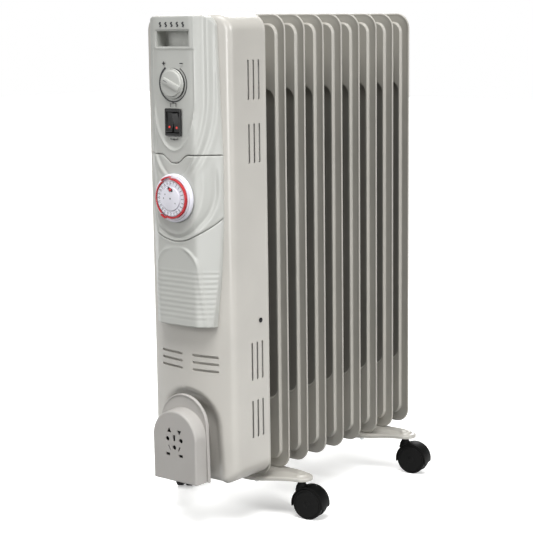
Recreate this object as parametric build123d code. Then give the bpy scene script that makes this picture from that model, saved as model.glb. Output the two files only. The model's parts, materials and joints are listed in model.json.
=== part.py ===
# Oil filled radiator heater: nine pressed steel fins welded on two hubs, a tubular element in the
# oil, a control housing on the first fin, a cord tidy, and two foot brackets on four twin casters.
# Millimetres. X is the width, -Y is the front, +Z is up, and z = 0 is the floor.
from build123d import *
import os

# Driving dimensions
overall_length = 437
fin_count = 9
fin_pitch = 40
fin_width = 132
fin_height = 580
fin_corner = 20
fin_bottom = 46
sheet = 1.0
chamber_half = 7
hub_radius = 24
hub_wall = 1.5
hub_inset_low = 45
hub_inset_high = 50

housing_width = 134
housing_bulge = 13
housing_bottom = 52
housing_top = 626
housing_corner = 20

panel_front = 28
panel_wall = 2.2
panel_gap = 0.4
seam_height = 460
timer_height = 408
knob_height = 545
switch_height = 499
pocket_height = 598
control_bottom = 251

foot_top = 44.5
foot_skirt = 4.9
floor_z = -4.5
caster_x = 100
wheel_radius = 20
caster_trail = 12
caster_turns = {"front_left": 120, "front_right": 10, "rear_left": 170, "rear_right": 10}
running_gap = 0.05

# Places worked out from them
front_y = -overall_length / 2
rear_y = overall_length / 2
last_fin_y = rear_y - chamber_half - 2
first_fin_y = last_fin_y - (fin_count - 1) * fin_pitch
fin_top = fin_bottom + fin_height
fin_middle = fin_bottom + fin_height / 2
low_hub_z = fin_bottom + hub_inset_low
high_hub_z = fin_top - hub_inset_high
hub_bore = hub_radius - hub_wall
housing_back_y = first_fin_y - 2
housing_front_y = front_y + panel_front
housing_edge_y = housing_front_y + housing_bulge
rear_plate_y = first_fin_y - 11
face_y = front_y + 12.5
foot_underside = foot_top - 2.5
axle_z = floor_z + wheel_radius


def block(x0, x1, y0, y1, z0, z1):
    middle = Pos((x0 + x1) / 2, (y0 + y1) / 2, (z0 + z1) / 2)
    return middle * Box(x1 - x0, y1 - y0, z1 - z0)


def rod_x(radius, x0, x1, y=0, z=0):
    return Pos((x0 + x1) / 2, y, z) * Rot(0, 90, 0) * Cylinder(radius, x1 - x0)


def rod_y(radius, y0, y1, x=0, z=0):
    return Pos(x, (y0 + y1) / 2, z) * Rot(90, 0, 0) * Cylinder(radius, y1 - y0)


def rod_z(radius, z0, z1, x=0, y=0):
    return Pos(x, y, (z0 + z1) / 2) * Cylinder(radius, z1 - z0)


def slab_y(sketch, y0, y1, taper=0):
    """Extrude a sketch drawn in X and Z from y1 towards the front, down to y0."""
    plane = Plane(origin=(0, y1, 0), x_dir=(1, 0, 0), z_dir=(0, -1, 0))
    return extrude(plane * sketch, y1 - y0, taper=taper)


def slab_y_back(sketch, y0, y1, taper=0):
    """Extrude a sketch drawn in X and Z from y0 towards the rear, up to y1."""
    plane = Plane(origin=(0, y0, 0), x_dir=(-1, 0, 0), z_dir=(0, 1, 0))
    return extrude(plane * sketch, y1 - y0, taper=taper)


def slab_z(sketch, z0, z1, taper=0):
    return extrude(Pos(0, 0, z0) * sketch, z1 - z0, taper=taper)


def upright(width, height, corner, x=0, z=0):
    """A rounded rectangle drawn in X and Z."""
    return Pos(x, z) * RectangleRounded(width, height, corner)


def outline(*points):
    return make_face(Polyline(*points, close=True))


def arch(half_foot, half_top, foot, shoulder, top):
    """A plate shape with a straight foot, sloping sides and a round top."""
    edges = Polyline((-half_top, shoulder), (-half_foot, foot), (half_foot, foot), (half_top, shoulder))
    crown = ThreePointArc((half_top, shoulder), (0, top), (-half_top, shoulder))
    return make_face(edges + crown)


def raised(shape):
    """Heights are drawn from a level 4.5 mm above the floor, so each solid is raised by that much."""
    return Pos(0, 0, -floor_z) * shape


def write(name, shape, color):
    shape.label = name
    shape.color = Color(*color)
    export_step(shape, os.path.join("parts", name + ".step"))


def save(name, shape, color):
    write(name, raised(shape), color)


def save_all(name, solids, color):
    write(name, Compound(children=[raised(solid) for solid in solids]), color)


stone = (0.72, 0.71, 0.67)
shade = (0.5, 0.5, 0.47)
silver = (0.8, 0.8, 0.79)
black = (0.06, 0.06, 0.07)
white = (0.9, 0.9, 0.92)
steel = (0.6, 0.62, 0.65)
brass = (0.75, 0.62, 0.3)


# Radiator: fins, hub caps, filler plug, heating element

chamber_width = fin_width - 20
chamber_height = fin_height - 20
pocket_width = 36
pocket_length = 390
pocket_offset = 28
press_taper = 30


def fin_half(width, height, corner, depth, side):
    """One pressed half of the oil chamber, tapering away from the weld plane."""
    sketch = upright(width, height, corner, z=fin_middle)
    if side < 0:
        return slab_y(sketch, -depth, 0, press_taper)
    return slab_y_back(sketch, 0, depth, press_taper)


def fin_pocket(width, length, corner, x):
    """The webbed panel between two oil channels, cleared on both faces of the fin."""
    shape = upright(width, length, corner, x=x, z=fin_middle)
    cut = slab_y(shape, -chamber_half - 1, -sheet, -press_taper)
    return cut + slab_y_back(shape, sheet, chamber_half + 1, -press_taper)


def make_fin(front_reach, rear_reach):
    """A welded fin on y = 0, with hub collars that reach to its neighbours."""
    fin = slab_y(upright(fin_width, fin_height, fin_corner, z=fin_middle), -sheet, sheet)
    cavity = None
    for side in (-1, 1):
        fin += fin_half(chamber_width, chamber_height, fin_corner - 6, chamber_half, side)
        half = fin_half(chamber_width - 5, chamber_height - 5, fin_corner - 8, chamber_half - sheet, side)
        cavity = half if cavity is None else cavity + half
    for x in (-pocket_offset, pocket_offset):
        fin -= fin_pocket(pocket_width, pocket_length, 14, x)
        island = upright(pocket_width + 10, pocket_length + 10, 18, x=x, z=fin_middle)
        cavity -= slab_y(island, -chamber_half, chamber_half)
    for z in (low_hub_z, high_hub_z):
        fin += rod_y(hub_radius, -front_reach, rear_reach, z=z)
    fin -= cavity
    for z in (low_hub_z, high_hub_z):
        fin -= rod_y(hub_bore, -front_reach, rear_reach, z=z)
    return fin


def make_fins():
    middle_fin = make_fin(fin_pitch / 2, fin_pitch / 2)
    last_fin = make_fin(fin_pitch / 2, chamber_half)
    for number in range(1, fin_count + 1):
        fin = last_fin if number == fin_count else middle_fin
        y = first_fin_y + (number - 1) * fin_pitch
        save(f"fin_{number}", Pos(0, y, 0) * fin, shade)


hub_front_y = first_fin_y - fin_pitch / 2
cap_thickness = 2


def make_hub_caps():
    front_cap = rod_y(hub_radius, hub_front_y - cap_thickness, hub_front_y, z=high_hub_z)
    front_cap -= rod_y(5, hub_front_y - cap_thickness, hub_front_y, z=high_hub_z)
    caps = [front_cap]
    for z in (low_hub_z, high_hub_z):
        caps.append(rod_y(hub_radius + 2, rear_y - cap_thickness, rear_y, z=z))
    save_all("hub_caps", caps, shade)


def make_filler_plug():
    plug = rod_y(4.95, hub_front_y - cap_thickness, hub_front_y + 6, z=high_hub_z)
    head = slab_y(Pos(0, high_hub_z) * RegularPolygon(8, 6), hub_front_y - 8, hub_front_y - cap_thickness)
    save("filler_plug", plug + head, steel)


element_radius = 5
leg_offset = 10
element_end_y = last_fin_y - 20


def make_heating_element():
    start = hub_front_y - 22
    low_leg = rod_y(element_radius, start, element_end_y, z=low_hub_z - leg_offset)
    high_leg = rod_y(element_radius, start, element_end_y, z=low_hub_z + leg_offset)
    ring = Pos(0, element_end_y, low_hub_z) * Rot(0, 90, 0) * Torus(leg_offset, element_radius)
    reach = leg_offset + element_radius + 1
    bend = ring & block(-reach, reach, element_end_y, element_end_y + reach, low_hub_z - reach, low_hub_z + reach)
    save("heating_element", low_leg + high_leg + bend, steel)


def make_element_fitting():
    body = rod_y(hub_radius, hub_front_y - 4, hub_front_y, z=low_hub_z)
    body += slab_y(Pos(0, low_hub_z) * RegularPolygon(19, 6), hub_front_y - 12, hub_front_y - 4)
    for side in (-1, 1):
        z = low_hub_z + side * leg_offset
        body -= rod_y(element_radius + running_gap, hub_front_y - 13, hub_front_y + 1, z=z)
    save("element_fitting", body, brass)


# Housing: painted steel shell, rear plate, screws

def housing_solid(inset):
    """The closed outer form of the housing, drawn smaller by the inset."""
    tall = housing_top - housing_bottom
    middle = (housing_top + housing_bottom) / 2
    half = housing_width / 2
    bow_radius = (half ** 2 + housing_bulge ** 2) / (2 * housing_bulge) - inset
    corner = housing_corner - inset
    box = slab_y(upright(housing_width - 2 * inset, tall - 2 * inset, corner, z=middle),
                 housing_front_y - 1, housing_back_y + inset)
    bow = Pos(0, housing_front_y + inset + bow_radius, middle) * Cylinder(bow_radius, tall + 10)
    return box & bow


recess_floor_y = housing_front_y + 12.5
recess_shape = (50, 46, housing_bottom - 4, 122, 168)
slot_height = 48
slot_width = 4.5
side_slot_rows = (129, 202.5, 471.5, 548)
side_slot_y = housing_back_y - 23
front_slot_rows = (194, 203, 212)


def vent_cuts():
    cuts = []
    side_slot = SlotOverall(slot_height, slot_width, 90)
    for z in side_slot_rows:
        for column in range(3):
            y = side_slot_y - 10 * (column - 1)
            plane = Plane(origin=(-housing_width, y, z), x_dir=(0, 1, 0), z_dir=(1, 0, 0))
            cuts.append(extrude(plane * side_slot, 2 * housing_width))
    for z in front_slot_rows:
        for x in (-27, 27):
            slot = Pos(x, z) * SlotOverall(38, 3.6)
            cuts.append(slab_y(slot, housing_front_y - 1, housing_edge_y + 8))
    return cuts


def make_housing():
    shell = housing_solid(0) - housing_solid(sheet)
    recess = slab_y(arch(*recess_shape), housing_front_y - 1, recess_floor_y)
    half_foot, half_top, foot, shoulder, top = recess_shape
    pan = slab_y(arch(half_foot + 1, half_top + 1, foot, shoulder, top + 1), housing_front_y - 1, recess_floor_y + sheet)
    shell = shell + (pan & housing_solid(0)) - recess
    for cut in vent_cuts():
        shell -= cut
    shell -= block(-29, 29, housing_front_y - 1, housing_edge_y, pocket_height - 14, pocket_height + 14)
    shell -= block(-13, 13, housing_front_y - 1, housing_edge_y, switch_height - 16, switch_height + 16)
    shell -= rod_y(6, housing_front_y - 1, housing_edge_y, z=knob_height)
    shell -= rod_y(28, housing_front_y - 1, housing_edge_y, z=timer_height)
    shell -= rod_x(2.2, -housing_width, housing_width, screw_y, screw_z)
    shell -= rod_z(gland_radius + 0.1, housing_bottom - 2, housing_bottom + 2, gland_x, gland_y)
    for x in (-12, 12):
        shell -= rod_y(1.8, recess_floor_y - 1, recess_floor_y + 2, x=x, z=spool_screw_z)
    save("housing_shell", shell, stone)


screw_y = housing_back_y - 16
screw_z = 252.5
gland_x = 28
gland_y = housing_back_y - 28
gland_radius = 7
spool_screw_z = 92


def make_rear_plate():
    plate = slab_y(
        upright(housing_width - 2.6, housing_top - housing_bottom - 2.6, housing_corner - 1.3,
                z=(housing_top + housing_bottom) / 2),
        rear_plate_y - sheet, rear_plate_y)
    for z in (low_hub_z, high_hub_z):
        plate -= rod_y(hub_radius + 0.4, rear_plate_y - 2, rear_plate_y + 1, z=z)
    for side in (-1, 1):
        inner = side * (housing_width / 2 - 2.5)
        outer = side * (housing_width / 2 - 1.3)
        low, high = min(inner, outer), max(inner, outer)
        plate += block(low, high, screw_y - 8, rear_plate_y, screw_z - 9, screw_z + 9)
    plate -= rod_x(1.7, -housing_width, housing_width, screw_y, screw_z)
    for z in (150, 330, 500):
        plate -= slab_y(Pos(0, z) * SlotOverall(70, 6), rear_plate_y - 2, rear_plate_y + 1)
    save("rear_plate", plate, steel)


def make_side_screws():
    screws = []
    for side in (-1, 1):
        face = housing_width / 2
        shank = rod_x(1.65, min(side * face, side * (face - 7)), max(side * face, side * (face - 7)), screw_y, screw_z)
        head = rod_x(3.6, min(side * face, side * (face + 1.4)), max(side * face, side * (face + 1.4)), screw_y, screw_z)
        screws.append(shank + head)
    save_all("side_screws", screws, steel)


# Control fascia: upper panel, timer panel, ribbed panel, hand pocket

flat_half = 30
flank_half = 66
flank_y = housing_edge_y - 2
top_half = 56
seam_half = 64.5
timer_half = 64
waist_half = 57.5
bottom_half = 52


def fascia_solid(inset):
    """The whole fascia as one closed form, drawn smaller by the inset."""
    flat = flat_half - inset * 0.35
    side = flank_half - inset * 1.2
    front = face_y + inset
    back = housing_edge_y + 2 + 6 * (inset > 0)
    plan = outline((-side, back), (-side, flank_y), (-flat, front), (flat, front), (side, flank_y), (side, back))
    face = outline(
        (-top_half + inset, housing_top - 1.5 - inset), (-seam_half + inset, seam_height),
        (-timer_half + inset, timer_height - 25), (-waist_half + inset, 316),
        (-bottom_half + inset, control_bottom + inset), (bottom_half - inset, control_bottom + inset),
        (waist_half - inset, 316), (timer_half - inset, timer_height - 25),
        (seam_half - inset, seam_height), (top_half - inset, housing_top - 1.5 - inset))
    return slab_z(plan, control_bottom, housing_top) & slab_y(face, face_y - 1, back)


def seam_sketch(low_line, high_line):
    """The band between two seam lines, each a list of points from left to right."""
    return outline(*low_line, *reversed(high_line))


wide = 80
seam_dip = ((-wide, seam_height), (-18, seam_height), (-8, seam_height - 10), (8, seam_height - 10),
            (18, seam_height), (wide, seam_height))
seam_bowl = [(x, 355 + 29 * (x / 63) ** 2) for x in range(-wide, wide + 1, 10)]


def lifted(line, rise):
    return [(x, z + rise) for x, z in line]


def fascia_shell():
    shell = fascia_solid(0) - fascia_solid(panel_wall)
    clear = Pos(0, -0.25, 0) * housing_solid(0)
    return shell - clear


def panel_band(shell, low_line, high_line):
    return shell & slab_y(seam_sketch(low_line, high_line), face_y - 2, housing_back_y)


pocket_half = 26.5
pocket_rise = 10.5
pocket_depth = 19.5


def make_upper_panel(shell):
    top_line = ((-wide, housing_top), (wide, housing_top))
    panel = panel_band(shell, lifted(seam_dip, panel_gap / 2), top_line)
    opening = upright(2 * pocket_half, 2 * pocket_rise, 1.5, z=pocket_height)
    panel -= slab_y(opening, face_y - 1, face_y + 4)
    panel -= rod_y(6, face_y - 1, face_y + 4, z=knob_height)
    panel -= block(-11, 11, face_y - 1, face_y + 4, switch_height - 14, switch_height + 14)
    save("upper_panel", panel, silver)


def make_hand_pocket():
    outer = upright(2 * pocket_half + 4, 2 * pocket_rise + 4, 3, z=pocket_height)
    inner = upright(2 * pocket_half, 2 * pocket_rise, 1.5, z=pocket_height)
    start = face_y + panel_wall
    cup = slab_y(outer, start, face_y + pocket_depth + 2) - slab_y(inner, start - 1, face_y + pocket_depth)
    save("hand_pocket", cup, silver)


def make_timer_panel(shell):
    panel = panel_band(shell, lifted(seam_bowl, panel_gap / 2), lifted(seam_dip, -panel_gap / 2))
    panel -= rod_y(27.5, face_y - 1, face_y + 4, z=timer_height)
    save("timer_panel", panel, silver)


def make_ribbed_panel(shell):
    floor_line = ((-wide, control_bottom - 1), (wide, control_bottom - 1))
    panel = panel_band(shell, floor_line, lifted(seam_bowl, -panel_gap / 2))
    for row in range(rib_count):
        z = control_bottom + 6 + row * rib_pitch
        panel += block(-24, 24, face_y - 0.8, face_y + 0.5, z - 1.2, z + 1.2)
    save("ribbed_panel", panel, silver)


rib_count = 11
rib_pitch = 6

# Controls: thermostat, switches, timer


def make_thermostat():
    body = block(-17, 17, housing_front_y + 4, housing_front_y + 22, knob_height - 17, knob_height + 17)
    body += rod_y(5.5, face_y + 3, housing_front_y + 4, z=knob_height)
    body -= rod_y(3 + running_gap, face_y + 2, housing_front_y + 14, z=knob_height)
    save("thermostat_body", body, steel)
    shaft = rod_y(3, face_y - 6, housing_front_y + 13, z=knob_height)
    save("thermostat_shaft", shaft, steel)


knob_radius = 18
pointer_turn = 23.5


def make_knob():
    skirt = rod_y(knob_radius, face_y - 3.3, face_y - 0.4, z=knob_height)
    cap = rod_y(knob_radius - 2.5, face_y - 6.5, face_y - 3.3, z=knob_height)
    bar = Rot(0, pointer_turn, 0) * block(-15, 15, face_y - 10.5, face_y - 6.5, -3.2, 3.2)
    knob = skirt + cap + Pos(0, 0, knob_height) * bar
    knob -= rod_y(3, face_y - 6, face_y + 1, z=knob_height)
    save("thermostat_knob", knob, silver)


rocker_pivot_y = face_y + 1.5
rocker_tilt = 8


def make_switches():
    body = block(-10.5, 10.5, face_y + 6, housing_front_y + 16, switch_height - 13, switch_height + 13)
    save("switch_body", body, black)
    bezel = slab_y(upright(25, 33, 1.5, z=switch_height), face_y - 2, face_y - 0.2)
    bezel += block(-10.8, 10.8, face_y - 0.2, face_y + 6, switch_height - 13.8, switch_height + 13.8)
    bezel -= block(-10, 10, face_y - 3, face_y + 7, switch_height - 12.6, switch_height + 12.6)
    save("switch_bezel", bezel, black)
    profile = outline((-12, 1), (-11.6, 3.6), (0, 1.8), (11.6, 3.6), (12, 1), (3, -2.5), (-3, -2.5))
    rocker = extrude(Plane(origin=(-4.7, 0, 0), x_dir=(0, 0, 1), z_dir=(1, 0, 0)) * profile, 9.4)
    for name, x, tilt in (("rocker_left", -5, rocker_tilt), ("rocker_right", 5, -rocker_tilt)):
        lever = Pos(x, rocker_pivot_y, switch_height) * Rot(tilt, 0, 0) * rocker
        save(name, lever, black)


drum_radius = 29.5
dial_radius = 26.8
dial_front_y = face_y - 9
dial_back_y = face_y - 4.6
tappet_count = 96


def make_timer():
    case = rod_y(26.5, face_y + 0.5, housing_front_y + 20, z=timer_height)
    save("timer_case", case, white)
    drum = rod_y(drum_radius, face_y - 4.3, face_y - 0.2, z=timer_height)
    drum += rod_y(27, face_y - 0.2, face_y + 0.5, z=timer_height)
    spindle = rod_y(2.5, dial_front_y + 1.8, face_y - 4.3, z=timer_height)
    save("timer_base", drum + spindle, white)
    dial = rod_y(21.8, dial_front_y + 0.6, dial_back_y, z=timer_height)
    dial -= rod_y(15.3, dial_front_y - 1, dial_back_y - 1.2, z=timer_height)
    dial -= rod_y(2.5 + running_gap, dial_front_y, dial_back_y + 1, z=timer_height)
    save("timer_dial", dial, white)
    ring = rod_y(dial_radius, dial_front_y, dial_back_y, z=timer_height)
    ring -= rod_y(22, dial_front_y - 1, dial_back_y + 1, z=timer_height)
    notch = block(-0.25, 0.25, dial_front_y - 1, dial_front_y + 1, 23, dial_radius + 1)
    for number in range(0, tappet_count, 4):
        turn = Rot(0, 360 * number / tappet_count, 0)
        ring -= Pos(0, 0, timer_height) * turn * notch
    save("timer_tappets", ring, (0.75, 0.1, 0.08))
    lever_z = timer_height + 10.8
    hub = rod_y(15, dial_front_y - 0.3, dial_front_y + 1.8, z=timer_height)
    slot = Pos(0, lever_z) * Rot(0, 0, -25) * SlotOverall(9, 4.6)
    hub -= slab_y(slot, dial_front_y - 1, dial_front_y + 1)
    save("timer_hub", hub, white)
    lever = rod_y(1.9, dial_front_y - 1.4, dial_front_y + 0.8, z=lever_z)
    save("mode_lever", lever, (0.75, 0.1, 0.08))


# Cord tidy on the lower front

flange_y = face_y + 10
plate_shape = (39, 37.5, 56, 124, 163)
raised_shape = (35, 35.5, 60, 112, 145)


def plug_holes():
    """Parking holes for the pins of common mains plugs."""
    holes = []
    for x, z in ((-11, 109), (11, 109), (0, 99)):
        holes.append(Pos(x, z) * Circle(2.6))
    holes.append(Pos(0, 111) * Rectangle(3.6, 8))
    for x in (-10.5, 10.5):
        holes.append(Pos(x, 89.5) * Rectangle(6.6, 3.8))
    for side in (-1, 1):
        holes.append(Pos(side * 8, 119.5) * Rot(0, 0, 90 - side * 30) * Triangle(a=6.4, b=6.4, c=6.4))
        holes.append(Pos(side * 8, 98) * Rot(0, 0, -side * 25) * Rectangle(1.6, 6.5))
    return holes


def make_cord_tidy():
    cover = slab_y(arch(*plate_shape), flange_y - 3, flange_y)
    cover += slab_y(arch(*raised_shape), front_y, flange_y - 3)
    half_foot, half_top, foot, shoulder, top = raised_shape
    hollow = arch(half_foot - 2.5, half_top - 2.5, foot + 2.5, shoulder, top - 2.5)
    cover -= slab_y(hollow, front_y + 2.5, flange_y + 1)
    for hole in plug_holes():
        cover -= slab_y(hole, front_y - 1, front_y + 4)
    save("cord_cover", cover, silver)
    core = slab_y(arch(24, 22, 70, 118, 138), flange_y, recess_floor_y - 0.2)
    core -= slab_y(arch(20, 18, 74, 116, 132), flange_y - 1, recess_floor_y - 3)
    for x in (-12, 12):
        core -= rod_y(1.8, recess_floor_y - 4, recess_floor_y, x=x, z=spool_screw_z)
    save("cord_core", core, silver)
    screws = []
    for x in (-12, 12):
        shank = rod_y(1.7, recess_floor_y - 3, recess_floor_y + 4, x=x, z=spool_screw_z)
        screws.append(shank + rod_y(3.4, recess_floor_y - 5, recess_floor_y - 3, x=x, z=spool_screw_z))
    save_all("core_screws", screws, steel)


def make_cable_gland():
    body = rod_z(gland_radius, housing_bottom - 3, housing_bottom + 9, gland_x, gland_y)
    body += rod_z(gland_radius + 2.5, housing_bottom - 3, housing_bottom - 0.2, gland_x, gland_y)
    body += rod_z(gland_radius + 2, housing_bottom + sheet + 0.2, housing_bottom + 5, gland_x, gland_y)
    body -= rod_z(3.6, housing_bottom - 4, housing_bottom + 10, gland_x, gland_y)
    save("cable_gland", body, black)


def make_terminal_block():
    block_z = 180
    base = block(-30, 30, rear_plate_y - sheet - 14, rear_plate_y - sheet, block_z - 10, block_z + 10)
    for x in (-20, 0, 20):
        base -= rod_y(3, rear_plate_y - 16, rear_plate_y - 9, x=x, z=block_z)
    save("terminal_block", base, white)


def make_thermal_cutout():
    disc = rod_y(8, rear_plate_y - sheet - 7, rear_plate_y - sheet, z=260)
    for x in (-4, 4):
        disc += block(x - 0.4, x + 0.4, rear_plate_y - 18, rear_plate_y - 7, 257, 263)
    save("thermal_cutout", disc, steel)


# Feet: brackets, U-bolts, wing nuts

foot_gaps = (1.5, 7.5)
foot_root_half = 29
foot_tip = 15
bolt_radius = 2.5
bolt_x = hub_radius + bolt_radius + 0.2


def foot_outline(inset):
    """The plan of a foot bracket: two wings that narrow to round tips."""
    root = foot_root_half - inset
    tip = foot_tip - inset
    sides = Polyline((-caster_x, -tip), (-46, -root), (46, -root), (caster_x, -tip), (caster_x, tip), (46, root),
                     (-46, root), (-caster_x, tip), close=True)
    plan = make_face(sides)
    for x in (-caster_x, caster_x):
        plan += Pos(x, 0) * Circle(tip)
    return plan


def make_foot():
    """A pressed bracket centred on x = 0, y = 0."""
    foot = slab_z(foot_outline(0), foot_top - foot_skirt, foot_top)
    foot -= slab_z(foot_outline(2), foot_top - foot_skirt - 1, foot_top - 2)
    for side in (-1, 1):
        x = side * caster_x
        foot += rod_z(8.5, foot_underside, foot_top + 3.5, x, 0)
        near, far = sorted((side * 68, side * (caster_x - 6)))
        foot += block(near, far, -4, 4, foot_top - 1, foot_top + 2)
        foot -= rod_z(4, foot_underside - 1, foot_top + 1.5, x, 0)
    saddle_top = low_hub_z - 6
    foot += block(-24, 24, -11, 11, foot_top - 2, saddle_top)
    foot -= block(-21, 21, -9, 9, foot_top - 8, low_hub_z - hub_radius - 4)
    foot -= rod_y(hub_radius + 0.1, -12, 12, z=low_hub_z)
    for x in (-bolt_x, bolt_x):
        foot -= rod_z(bolt_radius + 0.3, foot_top - 4, foot_top + 1, x, 0)
    return foot


def make_u_bolt():
    reach = bolt_x + bolt_radius + 1
    ring = Pos(0, 0, low_hub_z) * Rot(90, 0, 0) * Torus(bolt_x, bolt_radius)
    bolt = ring & block(-reach, reach, -reach, reach, low_hub_z, low_hub_z + reach)
    for x in (-bolt_x, bolt_x):
        bolt += rod_z(bolt_radius, foot_top - 16, low_hub_z, x, 0)
    return bolt


def make_wing_nut(x):
    nut = rod_z(5, foot_top - 9, foot_top - 2, x, 0)
    for side in (-1, 1):
        wing = Pos(x, side * 7.5, foot_top - 8) * Rot(side * 20, 0, 0) * Box(2.2, 9, 9)
        nut += wing & block(x - 5, x + 5, -14, 14, foot_top - 13, foot_top - 2.2)
    nut -= rod_z(bolt_radius, foot_top - 20, foot_top, x, 0)
    return nut


def make_feet():
    foot = make_foot()
    bolts = []
    nuts = []
    for name, gap in zip(("foot_front", "foot_rear"), foot_gaps):
        y = first_fin_y + (gap - 1) * fin_pitch
        place = Pos(0, y, 0)
        save(name, place * foot, stone)
        bolts.append(place * make_u_bolt())
        for x in (-bolt_x, bolt_x):
            nuts.append(place * make_wing_nut(x))
    save_all("u_bolts", bolts, steel)
    save_all("wing_nuts", nuts, steel)


# Casters: hood, steel pins and two wheels each

hood_radius = 22.1
hood_bore = 20.7
wheel_inner = 2.3
wheel_outer = 10.8
axle_radius = 2
stem_radius = 3.95
stem_foot = foot_underside - 4.2


def make_caster():
    """A caster with its stem on the Z axis and its axle beside it, along Y."""
    axle_x = caster_trail
    hood = rod_y(hood_radius, -11, 11, x=axle_x, z=axle_z)
    hood -= rod_y(hood_bore, -12, -2, x=axle_x, z=axle_z)
    hood -= rod_y(hood_bore, 2, 12, x=axle_x, z=axle_z)
    hood -= block(-30, 60, -12, -2, floor_z - 5, axle_z - 4)
    hood -= block(-30, 60, 2, 12, floor_z - 5, axle_z - 4)
    hood -= block(-30, 60, -12, 12, floor_z - 5, floor_z + 6)
    neck = rod_z(5, axle_z + 12, foot_underside - 0.3)
    neck -= rod_y(hood_bore, -12, -2, x=axle_x, z=axle_z)
    neck -= rod_y(hood_bore, 2, 12, x=axle_x, z=axle_z)
    hood += neck
    hood -= rod_z(stem_radius, stem_foot, foot_underside + 2)
    hood -= rod_y(axle_radius, -12, 12, x=axle_x, z=axle_z)
    stem = rod_z(stem_radius, stem_foot, foot_top + 1.2)
    axle = rod_y(axle_radius, -wheel_outer, wheel_outer, x=axle_x, z=axle_z)
    wheels = []
    for side in (-1, 1):
        inner, outer = sorted((side * wheel_inner, side * wheel_outer))
        wheel = rod_y(wheel_radius, inner, outer, x=axle_x, z=axle_z)
        wheel -= rod_y(axle_radius + 0.08, inner - 1, outer + 1, x=axle_x, z=axle_z)
        wheels.append(wheel)
    return hood, stem, axle, wheels


def make_casters():
    hood, stem, axle, wheels = make_caster()
    for end, gap in zip(("front", "rear"), foot_gaps):
        y = first_fin_y + (gap - 1) * fin_pitch
        for hand, side in (("left", -1), ("right", 1)):
            tag = f"{end}_{hand}"
            place = Pos(side * caster_x, y, 0) * Rot(0, 0, caster_turns[tag])
            save(f"caster_hood_{tag}", place * hood, black)
            save_all(f"caster_pins_{tag}", [place * stem, place * axle], steel)
            for letter, wheel in zip("ab", wheels):
                save(f"wheel_{letter}_{tag}", place * wheel, black)


def main():
    os.makedirs("parts", exist_ok=True)
    make_fins()
    make_hub_caps()
    make_filler_plug()
    make_heating_element()
    make_element_fitting()
    make_housing()
    make_rear_plate()
    make_side_screws()
    shell = fascia_shell()
    make_upper_panel(shell)
    make_timer_panel(shell)
    make_ribbed_panel(shell)
    make_hand_pocket()
    make_thermostat()
    make_knob()
    make_switches()
    make_timer()
    make_cord_tidy()
    make_cable_gland()
    make_terminal_block()
    make_thermal_cutout()
    make_feet()
    make_casters()


main()
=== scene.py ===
import json
import math

import bmesh
import bpy
import numpy as np
from mathutils import Matrix, Vector
from mathutils.geometry import delaunay_2d_cdt


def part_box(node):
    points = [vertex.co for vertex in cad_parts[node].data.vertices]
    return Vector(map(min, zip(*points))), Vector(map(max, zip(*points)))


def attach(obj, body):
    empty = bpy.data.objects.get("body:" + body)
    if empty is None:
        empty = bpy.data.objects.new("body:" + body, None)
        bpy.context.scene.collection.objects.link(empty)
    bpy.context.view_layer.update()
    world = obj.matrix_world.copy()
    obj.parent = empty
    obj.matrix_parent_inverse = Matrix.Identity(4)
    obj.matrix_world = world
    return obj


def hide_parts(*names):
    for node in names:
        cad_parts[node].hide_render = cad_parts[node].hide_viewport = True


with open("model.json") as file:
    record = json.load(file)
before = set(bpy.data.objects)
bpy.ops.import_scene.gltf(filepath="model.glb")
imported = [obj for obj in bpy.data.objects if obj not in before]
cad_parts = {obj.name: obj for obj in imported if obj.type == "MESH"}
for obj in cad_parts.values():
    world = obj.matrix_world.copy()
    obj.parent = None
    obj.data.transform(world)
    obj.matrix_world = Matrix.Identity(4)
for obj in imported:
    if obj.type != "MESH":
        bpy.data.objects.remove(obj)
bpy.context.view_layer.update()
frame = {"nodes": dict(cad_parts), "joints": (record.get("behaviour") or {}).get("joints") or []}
mm = 0.001  # shapes are drawn in millimetres and made in metres
datum = 4.5  # drawn heights start at this level above the floor, as in the frame


def boxOf(node):  # a node's lowest and highest corners, in millimetres from the datum
    low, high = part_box(node)
    return np.array(low) / mm - (0, 0, datum), np.array(high) / mm - (0, 0, datum)


def middleOf(node):
    low, high = boxOf(node)
    return (low + high) / 2


# ---- nodes and materials

def addNode(tree, kind, values=None, **settings):  # values are numbers, or sockets to link from
    node = tree.nodes.new(kind)
    for key, value in settings.items():
        setattr(node, key, value)
    for key, value in (values or {}).items():
        if isinstance(value, bpy.types.NodeSocket):
            tree.links.new(value, node.inputs[key])
        else:
            node.inputs[key].default_value = value
    return node


def linear(color):  # a display colour from 0 to 255, as the shader wants it
    shares = [channel / 255 for channel in color]
    return tuple(s / 12.92 if s <= 0.04045 else ((s + 0.055) / 1.055) ** 2.4 for s in shares)


def multiplied(tree, share, first, second):  # sockets 6 and 7 of a colour mix are its two colours
    mix = addNode(tree, "ShaderNodeMix", {"Factor": share, 6: first, 7: second},
                  data_type="RGBA", blend_type="MULTIPLY")
    return mix.outputs[2]


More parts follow.
